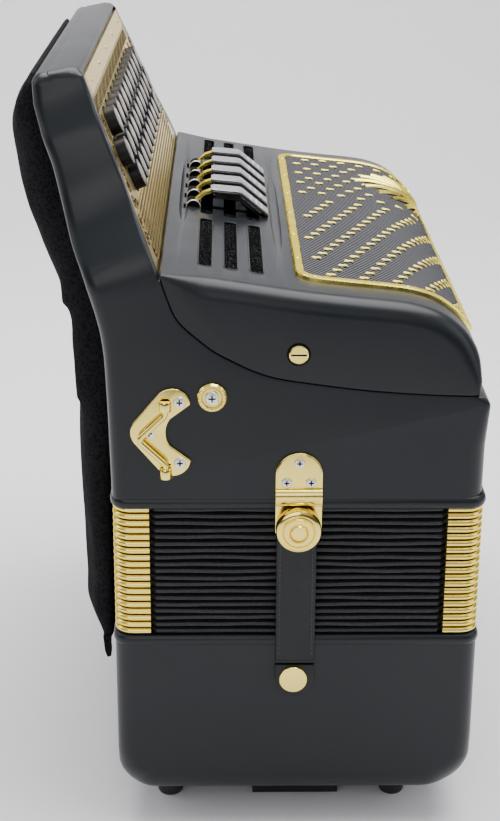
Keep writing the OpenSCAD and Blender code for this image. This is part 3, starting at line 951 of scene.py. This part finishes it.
def grille_dashes():
    """Short raised gilt bars on the cloth, with a dark strip of painted shadow on each side."""
    pts, faces, shadow_pts, shadow_faces = [], [], [], []
    for u, y in dash_places():
        add_dash(pts, faces, u, y, 2.5, 0.6, 0.7, 0.8)
        # near-black strips beside each bar are painted shadow, standing for the shade the raised bar casts
        for side in (-1, 1):
            add_dash(shadow_pts, shadow_faces, u, y + side * 1.6, 2.3, 0.7, 0.62, 0.25)
    dash = add_mesh("grille_dashes", pts, faces, GOLD_FLAT, 60)
    shadow_strips = add_mesh("grille_dash_shadows", shadow_pts, shadow_faces, BLACK_AND_PAINTED_SHADE, 60)
    return dash, shadow_strips


def add_dash(pts, faces, u, y, half_len, half_wide, lift, height):
    base = len(pts)
    rings = [(1.0, 0.0), (0.92, 0.6), (0.6, 1.0)]
    outline = [(-1, 0), (-0.8, -1), (0.8, -1), (1, 0), (0.8, 1), (-0.8, 1)]
    for scale, rise in rings:
        for a, b in outline:
            along = u + a * half_len * (1 - (1 - scale) * 0.4)
            pts.append(cover_point(along, y + b * half_wide * scale, lift + rise * height))
    m = len(outline)
    for r in range(2):
        for i in range(m):
            j = (i + 1) % m
            low, high = base + r * m, base + (r + 1) * m
            faces.append((low + i, low + j, high + j, high + i))
    faces.append(tuple(base + 2 * m + i for i in range(m)))
    faces.append(tuple(base + i for i in range(m))[::-1])


dashes, dash_shadows = grille_dashes()
place(dashes, TREBLE, "gold")
# the dark strips beside the bars are painted shadow
place(dash_shadows, TREBLE, "cloth_black")


def grille_emblem():
    """Plain gilt fan of leaves towards the far end of the grille."""
    pieces = []
    root_u, root_y = 86.0, 84.0
    section = [(-1.7, -0.6), (1.7, -0.6), (1.1, 0.3), (0, 0.9), (-1.1, 0.3)]
    for k in range(-5, 6):
        lean = math.radians(k * 15)
        length = 42 - abs(k) * 3.6
        path, ups = [], []
        for t in np.linspace(0.16, 1, 11):
            u = root_u - math.cos(lean) * length * t
            y = root_y + math.sin(lean) * length * t * 1.25
            path.append(cover_point(u, y, 1.3 + 1.2 * math.sin(math.pi * t)))
            _, n = on_cover(u)
            ups.append((n[0], 0, n[1]))
        pieces.append(sweep("leaf", path, section, GOLD_FLAT, ups=ups, smooth=60))
    return join("grille_emblem", pieces)


place(grille_emblem(), TREBLE, "gold")

# ---------------------------------------------------------------- button plate and keys


def button_plate():
    obj = copy_node("button_plate", "button_plate_engraved", PLATE, 30)
    layer = obj.data.uv_layers.get("plate") or obj.data.uv_layers.new(name="plate")
    for loop in obj.data.loops:
        p = obj.data.vertices[loop.vertex_index].co * 1000 - OFFSET
        s = (p - PLATE_TOP).dot(PLATE_DOWN)
        layer.data[loop.index].uv = (p.y, s)
    return obj


place(button_plate(), TREBLE, "plate_gold", "button_plate")

for name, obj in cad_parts.items():
    if name.startswith("treble_key"):
        obj.data.materials.clear()
        obj.data.materials.append(KEY)
        shade(obj.data, 30)
        bevel(obj, 1.0, 3, 50)
    elif name in ("treble_soundboard", "treble_reed_blocks", "bass_reed_block"):
        obj.data.materials.clear()
        obj.data.materials.append(WOOD)


def key_pearls():
    """Pearl disc let into the top of each button."""
    section = [(4.9, -0.5), (4.9, 0.1), (4.6, 0.3), (3.0, 0.45), (0.1, 0.5)]
    for row, (count, down) in enumerate(zip((11, 12, 11), (26.5, 40.3, 54.1))):
        for i in range(count):
            y = -11 + (i - (count - 1) / 2) * 18.5
            body = f"treble_key_r{row + 1}_{i + 1:02d}"
            disc = turned(f"{body}_pearl", plate_point(4.8, y, down), PLATE_OUT, section, PEARL_WITH_PAINTED_SHADE, 32)
            place(disc, body, "button_pearl")


key_pearls()


def on_plate(y, s, lift=0.12):
    return plate_point(lift, y, s)


def scroll(y, s, size, turn, start):
    """Spiral line of the engraving."""
    path = []
    for k in range(33):
        t = k / 32
        a = start + turn * 9.0 * t
        r = size * (1 - 0.85 * t)
        path.append(on_plate(y + r * math.cos(a), s + r * math.sin(a)))
    ups = [tuple(PLATE_OUT)] * len(path)
    return sweep("scroll", path, [(-0.32, -0.3), (0.32, -0.3), (0.2, 0.1), (-0.2, 0.1)], BRONZE, ups=ups)


def engraving():
    """Comb of slanted strokes beside the outer row and scrolls at both ends of the plate."""
    section = [(-0.5, -0.3), (0.5, -0.3), (0.3, 0.1), (-0.3, 0.1)]
    pieces = []
    for k in range(50):
        y = -122 + 4.7 * k
        path = [on_plate(y - 1.6, 17.8), on_plate(y, 15.2), on_plate(y + 0.9, 12.0)]
        pieces.append(sweep("stroke", path, section, BRONZE, ups=[tuple(PLATE_OUT)] * 3))
    for side, columns in ((-1, (5.6,)), (1, (5.8, 14.4, 23.0))):
        for column, inset in enumerate(columns):
            for k in range(8):
                s = 22 + 7.6 * k + 3.8 * (column % 2)
                half = float(np.interp(s, (0, 12, 50, 91), (119, 122, 135, 154)))
                turn = side * (1 if (k + column) % 2 else -1)
                pieces.append(scroll(side * (half - inset), s, 4.0, turn, 1.3 * k + column))
    for k in range(4):
        pieces.append(scroll(-126 - 3.2 * k, 62 + 7.4 * k, 3.6, -1 if k % 2 else 1, 1.7 * k))
    furrow = [(-0.5, -0.3), (0.5, -0.3), (0.5, 0.0), (-0.5, 0.0)]
    for k in range(9):
        s = 65.2 + 2.6 * k
        half = float(np.interp(s, (0, 12, 50, 91), (119, 122, 135, 154))) - 16
        path = [on_plate(-half + 2 * half * t / 12, s) for t in range(13)]
        ups = [tuple(PLATE_OUT)] * len(path)
        pieces.append(sweep("furrow", path, furrow, BRONZE, ups=ups))
    return join("button_plate_engraving", pieces)


place(engraving(), TREBLE, "plate_gold")

# ---------------------------------------------------------------- registers


def leg_roller(k):
    """Black roller with a bright rim, half sunk in the panel, at the foot of a register's leg."""
    y, height = REGISTER_Y[k], panel_top(-51) - 0.4
    body = [(0.1, 0.0), (3.7, 0.0), (3.7, 8.8), (0.1, 8.8)]
    roller = turned(f"register_{k + 1}_roller", (-51, y - 4.4, height), (0, 1, 0), body, BLACK_AND_PAINTED_SHADE, 32)
    path = [(-51 + a, y - 4.5, height + b) for a, b in circle_section(3.7, 32)]
    edge = sweep(
        f"register_{k + 1}_roller_rim", path, circle_section(0.38, 8), STEEL,
        ups=[(0, 1, 0)] * len(path), closed=True,
    )
    return roller, edge


def register_switch(k):
    """Black lever with a satin cap, a gilt leg behind and small stones on its slope."""
    y = REGISTER_Y[k]
    ends = []
    narrowing = (0.3, 0.72, 0.93)
    for z_drop, half, name, mat in ((0.0, 6.1, "cap", SILVER), (0.75, 7.3, "lever", GLOSS)):
        line = [
            (-42.2, 195.9), (-41.8, 195.9), (-40.6, 195.8), (-38.6, 195.7),
            (-27.6, 194.7), (-26.0, 194.2), (-24.6, 193.2), (-12.0, 182.9),
        ]
        thick = 0.65 if name == "cap" else 1.25
        pts, faces = [], []
        for i, (x, z) in enumerate(line):
            z -= z_drop
            width = half
            if i < 3:
                width = half * narrowing[i]
            for level in (0.0, -thick):
                for yy in (-width, width):
                    shift = 0.0 if i > 0 else 0.4
                    pts.append((x + shift, y + yy, z + level))
        for i in range(len(line) - 1):
            a, b = 4 * i, 4 * (i + 1)
            faces += [(a, a + 1, b + 1, b), (a + 2, b + 2, b + 3, a + 3)]
            faces += [(a, b, b + 2, a + 2), (a + 1, a + 3, b + 3, b + 1)]
        last = 4 * (len(line) - 1)
        faces += [(0, 2, 3, 1), (last, last + 1, last + 3, last + 2)]
        obj = add_mesh(name, pts, faces, mat)
        bevel(obj, 0.22, 2, 30)
        ends.append(bake(obj, 40))
    cap, lever = ends
    under = prism(
        "under",
        [
            (-40, 192.6), (-27.4, 191.6), (-16.5, 182.6), (-16.4, 177), (-14.2, 175.2),
            (-13, 178), (-17, 180), (-27, 188.6), (-39.4, 190.4),
        ],
        y - 2.3, y + 2.3, GLOSS,
    )
    lever = join("lever", [lever, under])
    leg = sweep(
        "leg", [(-50.8, y, 186.5), (-49.6, y, 189.0), (-45.4, y, 192.6), (-40.8, y, 194.1)],
        [(-2.6, -0.8), (2.6, -0.8), (2.6, 0.8), (-2.6, 0.8)], GOLD_FLAT,
        ups=[(-0.8, 0, 0.6)] * 4, smooth=40,
    )
    stones = []
    stone = [(0.75, -0.3), (0.7, 0.05), (0.4, 0.3), (0.1, 0.32)]
    for i in range(3):
        for j in (-1, 0, 1):
            t = 0.3 + 0.22 * i
            x, z = -24.6 + t * 12.6, 193.2 - t * 10.3
            centre = (x, y + j * 3.4, z)
            stones.append(turned("stone", centre, (0.633, 0, 0.774), stone, STONE, 8, 20))
    return cap, lever, leg, join(f"register_{k + 1}_stones", stones)


for k in range(5):
    bar, under, leg, stones = register_switch(k)
    body = f"register_switch_{k + 1}"
    bar.name = f"register_{k + 1}_cap"
    under.name = f"register_{k + 1}_lever"
    leg.name = f"register_{k + 1}_leg"
    place(bar, body, "register_silver", body)
    place(under, body, "cloth_black")
    place(leg, body, "gold")
    place(stones, body, "register_silver")
    roller, edge = leg_roller(k)
    place(roller, body, "case_black")
    place(edge, body, "register_silver")

# ---------------------------------------------------------------- bellows


def bellows_skin():
    """Pleated cloth: a rounded rectangle whose size follows the folds."""
    depth = 7.0
    rows = []
    pitch = (RIM_HIGH - RIM_LOW) / FOLDS
    shape = [(0.0, 0.0), (0.13, 0.78), (0.26, 0.96), (0.5, 1.0), (0.74, 0.96), (0.87, 0.78)]
    for k in range(FOLDS):
        for t, out in shape:
            rows.append((RIM_LOW + (k + t) * pitch, out, k))
    rows.append((RIM_HIGH, 0.0, FOLDS))
    pts, faces = [], []
    base_ring = spread(rectangle_ring(HALF_X - 1.2, HALF_Y - 1.2, EDGE), 5.0)
    n = len(base_ring)
    for z, out, k in rows:
        for x, y in base_ring:
            inset = depth * (1 - out)
            if abs(x) > HALF_X - 18 and abs(y) > HALF_Y - 18:
                inset = max(inset, 3.2)
            sx = x * (1 - inset / HALF_X)
            sy = y * (1 - inset / HALF_Y)
            share = out if 0 < k < FOLDS else out * 0.3
            wave = noise(Vector((x * 0.045, y * 0.045, k * 3.7))) * 0.55 * share
            pts.append((sx, sy, z + wave))
    for r in range(len(rows) - 1):
        for i in range(n):
            j = (i + 1) % n
            faces.append((r * n + i, r * n + j, (r + 1) * n + j, (r + 1) * n + i))
    faces.append(tuple(range(n)))
    last = (len(rows) - 1) * n
    faces.append(tuple(range(last, last + n)))
    return add_mesh("bellows_folds", pts, faces, BELLOWS, 40)


def bellows_corners():
    """Gilt caps that clasp the folds at the four corners."""
    pitch = (RIM_HIGH - RIM_LOW) / FOLDS
    reach, corner = 17.5, EDGE
    hx, hy = HALF_X - 0.1, HALF_Y - 0.4
    h = pitch * 0.41
    section = [(-3.6, -h * 0.7)]
    for a in range(-90, 91, 18):
        section.append((1.5 * (math.cos(math.radians(a)) - 1), h * math.sin(math.radians(a))))
    section.append((-3.6, h * 0.7))
    for k in range(FOLDS):
        pieces = []
        z = RIM_LOW + (k + 0.5) * pitch
        for cx, cy, start in ((1, 1, 0), (-1, 1, 90), (-1, -1, 180), (1, -1, 270)):
            turn = arc(cx * (hx - corner), cy * (hy - corner), corner, start, start + 90, 8)
            if cx * cy > 0:
                first, last = (cx * hx, cy * (hy - reach)), (cx * (hx - reach), cy * hy)
            else:
                first, last = (cx * (hx - reach), cy * hy), (cx * hx, cy * (hy - reach))
            path = [first] + turn + [last]
            pieces.append(sweep("cap", [(x, y, z) for x, y in path], section, GOLD, smooth=70))
        yield z, join(f"bellows_corner_caps_{k + 1:02d}", pieces)


skin = bellows_skin()
metres((0, 0, RIM_LOW))
metres((0, 0, RIM_HIGH))
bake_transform(skin)
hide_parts("bellows")
for z, caps in bellows_corners():
    # start and end mark a long span round the cap's height, the cap at the same share of it as between the
    # rims; nothing uses them
    share, span = (z - RIM_LOW) / (RIM_HIGH - RIM_LOW), 3000.0
    start, end = metres((0, 0, z - share * span)), metres((0, 0, z + (1 - share) * span))
    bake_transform(caps)
    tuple(start)
    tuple(end)
    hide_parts("bellows")

# ---------------------------------------------------------------- bass end

BASS_BOTTOM = -85.0
BASS_BOTTOM_RADIUS = 18.0


def bass_outline():
    low_back = arc(-HALF_X + 19, BASS_BOTTOM + 19, 19, 180, 270, 12)
    low_front = arc(HALF_X - 24, BASS_BOTTOM + 24, 24, 270, 360, 16)
    front = [(HALF_X, z) for z in (-50, -40, -20, BASS_TOP)]
    back = [(-HALF_X, z) for z in (BASS_TOP, -20, -40, -50, -58)]
    return low_back + low_front + front + back


def bass_radius(x, z):
    return float(np.interp(z, (-80, -58), (BASS_BOTTOM_RADIUS, EDGE)))


def bass_case():
    shell = rounded_prism(
        "bass_shell", bass_outline(), bass_radius, lambda x, z: HALF_Y, LACQUER, rings=9,
        square_at=BASS_TOP,
    )
    cutters = [
        box_mesh("hollow", (-HALF_X + WALL, -HALF_Y + WALL, -65), (HALF_X - WALL, HALF_Y - WALL, 40)),
        box_mesh("floor", (-66, -HALF_Y + 14, -80.5), (56, HALF_Y - 14, -60)),
    ]
    for x in (44, 62):
        for k in range(6):
            centre = (x, (k - 2.5) * 19, -90)
            cutters.append(turned("hole", centre, (0, 0, 1), [(5.56, 0), (5.56, 30)], None, 32))
    cutters.append(turned("hole", (62, 90, -90), (0, 0, 1), [(6.56, 0), (6.56, 30)], None, 32))
    return cut(shell, *cutters, smooth=32)


place(bass_case(), BASS, "case_black", "bass_case")
place(rim("bass_rim", 2.2, 8.0), BASS, "case_black")

for name in ("bass_buttons_row_1", "bass_buttons_row_2", "air_button"):
    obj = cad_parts[name]
    obj.data.materials.clear()
    obj.data.materials.append(PEARL_WITH_PAINTED_SHADE)
    shade(obj.data, 30)
    bevel(obj, 0.9, 3, 50)


def bass_hand_strap():
    obj = copy_node("bass_strap", "bass_hand_strap", LEATHER, 30)
    bevel(obj, 1.2, 2, 40)
    return bake(obj, 35)


place(bass_hand_strap(), BASS, "leather", "bass_strap")


def feet():
    pieces = []
    for x in (-63, 52):
        for y in (-132, 132):
            section = [(7.0, 0), (7.0, -4.0), (6.7, -5.0), (6.4, -12.6), (5.8, -13.6), (4.6, -14.0)]
            pieces.append(turned("foot", (x, y, BASS_BOTTOM), (0, 0, 1), section, RUBBER, 40))
    return join("rubber_feet", pieces)


place(feet(), BASS, "case_black")

# ---------------------------------------------------------------- end fittings (both ends)


def end_point(x, out, z, side):
    """Point on an end face: out is the distance proud of it, side -1 near and +1 far."""
    return Vector((x, side * (HALF_Y + out), z))


def face_plate(name, outline, out0, out1, side, mat, edge=0.5):
    y0, y1 = side * (HALF_Y + out0), side * (HALF_Y + out1)
    obj = prism(name, outline, min(y0, y1), max(y0, y1), mat)
    bevel(obj, edge, 3, 40)
    return bake(obj, 35)


def end_box(name, xs, outs, zs, side, mat):
    """Box on an end face, between two distances proud of it."""
    y0, y1 = sorted(side * (HALF_Y + out) for out in outs)
    return box_mesh(name, (xs[0], y0, zs[0]), (xs[1], y1, zs[1]), mat)


def knob(name, x, z, side, section, mat, count=48):
    return turned(name, end_point(x, 0, z, side), (0, side, 0), section, mat, count)


def cross_screw(x, z, side, out, radius):
    """Domed Phillips screw, its cross drawn as dark bars of painted shade."""
    dome = [
        (radius, out - 0.4), (radius, out + 0.4), (radius * 0.86, out + 0.9),
        (radius * 0.4, out + 1.15), (0.05, out + 1.2),
    ]
    head = knob("screw", x, z, side, dome, STEEL, 32)
    bars = []
    # the cross is two near-black bars standing just proud of the dome: painted shade in place of a recess
    for a, b in ((radius * 0.5, 0.34), (0.34, radius * 0.5)):
        bars.append(end_box("slot", (x - a, x + a), (out + 0.75, out + 1.3), (z - b, z + b), side, BLACK_AND_PAINTED_SHADE))
    return [head] + bars


def bracket_outline():
    pts = []
    pts += arc(-59.0, 126.5, 8.6, 5, 130, 10)
    pts += arc(-69.3, 113.5, 9.0, 145, 215, 8)
    pts += arc(-59.0, 100.5, 8.6, 230, 355, 10)
    pts += arc(-50.4, 113.5, 11.5, 215, 145, 10)
    return pts


def treble_fittings(side, tag):
    # dark gathers the near-black pieces of painted shade: the screws' cross slots and the cover pin's slot
    # and ring
    metal, plain, dark = [], [], []
    metal.append(face_plate("bracket", bracket_outline(), 0.05, 1.6, side, GOLD, 0.6))
    for x, z in ((-55.5, 128.4), (-69.5, 113.4), (-55.5, 98.6)):
        head, *slots = cross_screw(x, z, side, 1.1, 2.9)
        plain.append(head)
        dark += slots
    lug = [(2.7, 0), (2.9, 0.4), (2.9, 4.4), (2.7, 4.8)]
    for z in (94.5, 127.5):
        metal.append(turned("lug", end_point(-62, 4.0, z - 2.4, side), (0, 0, 1), lug, GOLD, 24))
        metal.append(end_box("lug_foot", (-64.9, -59.1), (1.0, 4.0), (z - 2.4, z + 2.4), side, GOLD))
    lock_x, lock_z = -40.6, 130.5
    lock = [(6.9, 0.05), (6.9, 1.4), (6.2, 2.3), (5.2, 2.4), (4.6, 1.9), (4.3, 1.2)]
    metal.append(knob("lock_ring", lock_x, lock_z, side, lock, GOLD))
    bead = [(0.5, 2.1), (0.45, 2.5), (0.15, 2.7)]
    for k in range(20):
        a = 2 * math.pi * k / 20
        x, z = lock_x + 5.7 * math.cos(a), lock_z + 5.7 * math.sin(a)
        metal.append(knob("bead", x, z, side, bead, GOLD, 10))
    head, *slots = cross_screw(lock_x, lock_z, side, 1.6, 3.4)
    plain.append(head)
    dark += slots
    cover_pin = [(4.4, 0.05), (4.4, 0.9), (3.9, 1.3), (0.1, 1.4)]
    metal.append(knob("cover_pin", -1.3, 151, side, cover_pin, GOLD))
    # a near-black bar across the cover pin and a ring round it are painted shade of the pin's slot and
    # recess
    dark.append(end_box("pin_slot_shade", (-4.9, 2.3), (1.1, 1.5), (150.6, 151.4), side, BLACK_AND_PAINTED_SHADE))
    dark.append(knob("pin_ring_shade", -1.3, 151, side, [(5.4, -0.4), (5.4, 0.25), (4.4, 0.3)], BLACK_AND_PAINTED_SHADE))
    plate = arc(-0.2, 92.3, 11, 0, 180, 24) + [(-11.2, 62.6), (10.8, 62.6)]
    metal.append(face_plate("buckle_plate", plate, 0.05, 1.4, side, GOLD, 0.5))
    rim_line = arc(-0.2, 92.3, 10.2, 8, 172, 24)
    rim_path = [end_point(x, 1.6, z, side) for x, z in rim_line]
    rim_ups = [(0, side, 0)] * len(rim_path)
    metal.append(sweep("buckle_rim", rim_path, circle_section(0.45, 8), GOLD, ups=rim_ups))
    for x, z in ((-0.1, 98.4), (-6, 88.6), (5.4, 88.6)):
        head, *slots = cross_screw(x, z, side, 1.2, 2.5)
        plain.append(head)
        dark += slots
    ramp = [
        (0.0, 85.6), (1.5, 85.9), (3.4, 85.2), (4.4, 83.6), (4.6, 81.6),
        (4.3, 79.4), (3.4, 77.6), (2.0, 76.8), (0.0, 76.6),
    ]
    pts, faces = [], []
    for x in (-11.0, 10.6):
        pts += [end_point(x, out, z, side) for out, z in ramp]
    n = len(ramp)
    faces = [tuple(range(n)), tuple(range(2 * n - 1, n - 1, -1))]
    faces += [(i, i + 1, n + i + 1, n + i) for i in range(n - 1)]
    faces.append((n - 1, 0, n, 2 * n - 1))
    metal.append(add_mesh("ramp", pts, faces, GOLD, 50))
    for z, out in ((84.3, 4.2), (80.4, 4.6), (78.4, 4.1)):
        outs = (out - 0.25, out + 0.05)
        metal.append(end_box("ramp_line", (-11.0, 10.6), outs, (z - 0.18, z + 0.18), side, GOLD))
    return (
        join(f"treble_fittings_{tag}", metal),
        join(f"treble_screws_{tag}", plain),
        join(f"treble_screw_slot_shade_{tag}", dark),
    )


def strap_loop(side, tag):
    """V-shaped wire loop, its ends turned into the bracket's lugs."""
    corners = [(-62, 93), (-62, 99), (-74.5, 111), (-62, 123), (-62, 129)]
    line = []
    for i, p in enumerate(corners):
        if i in (0, len(corners) - 1):
            line.append(p)
            continue
        a, b = np.array(corners[i - 1], float), np.array(corners[i + 1], float)
        p = np.array(p, float)
        cut_len = 2.6 if i == 2 else 1.8
        s = p + (a - p) / np.linalg.norm(a - p) * cut_len
        e = p + (b - p) / np.linalg.norm(b - p) * cut_len
        for t in np.linspace(0, 1, 6):
            line.append(tuple((1 - t) ** 2 * s + 2 * t * (1 - t) * p + t * t * e))
    path = [end_point(x, 4.0, z, side) for x, z in line]
    ups = [(0, side, 0)] * len(path)
    return sweep(f"strap_loop_wire_{tag}", path, circle_section(1.5, 14), GOLD, ups=ups, smooth=60)


def bellows_strap(side, tag):
    """Stitched leather strip with a turned gilt snap at its upper end."""
    cx, half = -1.0, 9.4
    outline = arc(cx, 66, half, 0, 180, 24) + [(cx - half, -3.5), (cx + half, -3.5)]
    strip = face_plate("strip", outline, 1.7, 3.9, side, LEATHER, 0.5)
    fold = [(1.1, 0), (1.35, 0.3), (1.35, 18.5), (1.1, 18.8)]
    hinge = turned("fold", end_point(cx - half, 2.8, -4, side), (1, 0, 0), fold, LEATHER, 16)
    strip = join(f"bellows_strap_leather_{tag}", [strip, hinge])
    stitches = []
    for edge in (-1, 1):
        for k in range(26):
            z = 0.5 + k * 2.6
            x = cx + edge * (half - 1.7)
            xs, zs = (x - 0.22, x + 0.22), (z - 0.85, z + 0.85)
            stitches.append(end_box("stitch", xs, (3.8, 4.1), zs, side, THREAD))
    stitches = join(f"bellows_strap_stitches_{tag}", stitches)
    turning = [
        (10.3, 3.85), (10.6, 4.4), (10.6, 8.8), (10.2, 9.8), (9.2, 10.4),
        (8.0, 10.5), (7.4, 9.9), (7.2, 10.1), (6.8, 11.3), (5.4, 11.5),
        (4.6, 11.3), (4.3, 10.6), (3.9, 11.3), (3.4, 11.9), (0.1, 12.0),
    ]
    snap = knob(f"bellows_strap_snap_{tag}", -0.4, 67.2, side, turning, GOLD)
    return strip, stitches, snap


def lower_strap_end(side, tag):
    cx, half = -1.0, 9.4
    outline = [(cx + half, -6.2), (cx - half, -6.2)] + arc(cx, -14.5, half, 180, 360, 24)
    tongue = face_plate(f"strap_tail_{tag}", outline, 0.05, 3.5, side, LEATHER, 0.5)
    dome = [(7.0, 3.6), (7.0, 4.3), (6.6, 4.9), (5.0, 5.15), (0.1, 5.2)]
    rivet = knob(f"strap_rivet_{tag}", -1.7, -13.7, side, dome, GOLD)
    return tongue, rivet


for side, tag in ((-1, "near"), (1, "far")):
    metal, plain, dark = treble_fittings(side, tag)
    place(metal, TREBLE, "gold")
    place(plain, TREBLE, "gold")
    # dark holds the painted shade of the screw and pin slots
    place(dark, TREBLE, "gold")
    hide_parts("treble_fittings")
    place(strap_loop(side, tag), f"strap_loop_{tag}", "gold", f"strap_loop_{tag}")
    strip, stitches, snap = bellows_strap(side, tag)
    body = f"bellows_strap_{tag}"
    place(strip, body, "leather", body)
    place(stitches, body, "leather")
    place(snap, body, "gold")
    tongue, rivet = lower_strap_end(side, tag)
    place(tongue, BASS, "leather", "bass_fittings")
    place(rivet, BASS, "gold")

# ---------------------------------------------------------------- back pad

PAD_OUTER = [
    (-127, 267.5), (-134.4, 257), (-135.2, 250), (-134, 243), (-131.5, 229), (-129.2, 213), (-123.3, 193),
    (-113.5, 163), (-106.4, 138), (-105, 117), (-105.6, 80), (-105.0, 47),
    (-104.3, 19), (-103.8, 2), (-104.6, -14),
    (-101, -26), (-96.4, -31.5),
]
PAD_INNER = [
    (-92.6, -26), (-91.7, 0), (-91.7, 60), (-90.4, 84), (-89.6, 98), (-89.8, 125),
    (-91.0, 150), (-93.9, 166.5),
    (-99.4, 185.5), (-105.2, 199.5), (-109.9, 216.3), (-113.6, 231.2),
    (-118.4, 243.8), (-122.2, 255.4), (-123.2, 263),
    (-122.2, 267.5),
]


def back_pad():
    outline = smooth_line(PAD_OUTER + PAD_INNER, 4.0, closed=True)
    obj = rounded_prism(
        "back_pad_cushion", outline, lambda x, z: 4.5, lambda x, z: 102.6, PAD, rings=5, smooth=60
    )
    puff(obj, 3.5)
    tab_line = [
        (-98.4, -26), (-97.6, -34.5), (-96.4, -38), (-94.4, -37.4), (-94.6, -33), (-94.2, -26),
    ]
    tab = prism("tab", tab_line, -101, -93, PAD)
    return join("back_pad_cushion", [obj, tab])


def puff(obj, limit):
    """Moves the cushion's outer face the way inflated cloth goes, by no more than limit (mm)."""
    remesh = obj.modifiers.new("remesh", "REMESH")
    remesh.mode = "VOXEL"
    remesh.voxel_size = 0.005
    bake(obj, 60)
    rest = np.array([v.co[:] for v in obj.data.vertices])
    normals = np.array([v.normal[:] for v in obj.data.vertices])
    cloth = obj.modifiers.new("cloth", "CLOTH")
    cloth.settings.quality = 5
    cloth.settings.use_pressure = True
    cloth.settings.uniform_pressure_force = 4.0
    cloth.settings.effector_weights.gravity = 0.0
    scene = bpy.context.scene
    first, last = scene.frame_start, scene.frame_end
    cloth.point_cache.frame_start, cloth.point_cache.frame_end = 1, 20
    for step in range(1, 21):
        scene.frame_set(step)
    graph = bpy.context.evaluated_depsgraph_get()
    shaped = obj.evaluated_get(graph)
    moved = np.array([v.co[:] for v in shaped.data.vertices])
    obj.modifiers.remove(cloth)
    scene.frame_set(1)
    scene.frame_start, scene.frame_end = first, last
    shift = moved - rest
    length = np.maximum(np.linalg.norm(shift, axis=1), 1e-9)
    shift *= np.minimum(1.0, limit / 1000 / length)[:, None]
    outward = np.clip((-normals[:, 0] - 0.15) / 0.5, 0.0, 1.0)
    obj.data.vertices.foreach_set("co", (rest + shift * outward[:, None]).ravel())
    obj.modifiers.new("smooth", "SUBSURF").levels = 1
    bake(obj, 60)


pad = back_pad()
place(pad, TREBLE, "pad_black", "back_pad")

# ---------------------------------------------------------------- set, light, camera


def plain(name, color, rough):
    return principled(name, color, rough)[0]


def stage():
    floor_mat = plain("floor_paint", (0.80, 0.795, 0.815), 0.7)
    bpy.ops.mesh.primitive_plane_add(size=6, location=(0, 0, 0))
    floor = bpy.context.object
    floor.name = "floor"
    floor.data.materials.append(floor_mat)
    curve = []
    for k in range(13):
        a = math.radians(90 * k / 12)
        curve.append((1.1 + 0.5 * math.sin(a), 0.5 * (1 - math.cos(a))))
    curve.append((1.6, 3.0))
    pts, faces = [], []
    for x in (-3.0, 3.0):
        pts += [(x, y, z) for y, z in curve]
    n = len(curve)
    faces = [(i, i + 1, n + i + 1, n + i) for i in range(n - 1)]
    mesh = bpy.data.meshes.new("backdrop")
    mesh.from_pydata(pts, [], faces)
    wall = bpy.data.objects.new("backdrop", mesh)
    bpy.context.scene.collection.objects.link(wall)
    mesh.materials.append(floor_mat)
    mesh.polygons.foreach_set("use_smooth", [True] * len(mesh.polygons))


def area_light(name, location, target, size, power, color=(1, 1, 1)):
    data = bpy.data.lights.new(name, "AREA")
    data.shape = "RECTANGLE"
    data.size, data.size_y = size
    data.energy = power
    data.color = color
    obj = bpy.data.objects.new(name, data)
    bpy.context.scene.collection.objects.link(obj)
    obj.location = location
    obj.rotation_euler = (Vector(target) - Vector(location)).to_track_quat("-Z", "Y").to_euler()
    return obj


def camera():
    """At the photograph's viewing point: a long lens, looking down a little at the end face."""
    pitch, yaw, roll = (math.radians(a) for a in (20.67, -1.01, 0.33))
    level = math.cos(pitch)
    forward = Vector((-math.sin(yaw) * level, math.cos(yaw) * level, -math.sin(pitch)))
    right = Vector((math.cos(yaw), math.sin(yaw), 0))
    up = right.cross(forward)
    x = right * math.cos(roll) + up * math.sin(roll)
    y = -right * math.sin(roll) + up * math.cos(roll)
    data = bpy.data.cameras.new("camera")
    data.lens = 72.86
    data.sensor_width = 36
    obj = bpy.data.objects.new("camera", data)
    bpy.context.scene.collection.objects.link(obj)
    m = Matrix((x, y, -forward)).transposed().to_4x4()
    m.translation = metres((-35.8, -874.4, 392.4))
    obj.matrix_world = m
    bpy.context.scene.camera = obj


stage()
middle = (0.0, 0.0, 0.2)
area_light("top_soft", (0.1, 0.25, 1.5), (0, 0.05, 0.15), (1.6, 1.2), 46)
area_light("front_soft", (-0.5, -1.7, 0.9), middle, (1.4, 1.0), 9)
area_light("right_soft", (1.5, -0.4, 0.8), middle, (0.9, 1.2), 5)
area_light("left_soft", (-1.5, 0.2, 0.9), middle, (0.8, 1.2), 6)


def sky():
    """Bright overhead and dark towards the horizon, so that metal has something to reflect."""
    world = bpy.data.worlds.new("soft_sky")
    world.use_nodes = True
    tree = world.node_tree
    coords = node(tree, "ShaderNodeTexCoord")
    split = node(tree, "ShaderNodeSeparateXYZ")
    link(tree, coords, "Generated", split, "Vector")
    ramp = node(tree, "ShaderNodeValToRGB")
    stops = [(0.0, 0.55), (0.5, 0.10), (0.62, 0.16), (0.72, 0.85), (1.0, 1.0)]
    height = ramp_value(tree, split, "Z", -1, 1, 0, 1)
    link(tree, height, "Result", ramp, "Fac")
    for position, level in stops[1:-1]:
        ramp.color_ramp.elements.new(position)
    for element, (position, level) in zip(ramp.color_ramp.elements, stops):
        element.position = position
        element.color = (level, level, level * 1.04, 1)
    background = tree.nodes["Background"]
    link(tree, ramp, "Color", background, "Color")
    background.inputs["Strength"].default_value = 0.8
    bpy.context.scene.world = world


sky()
camera()
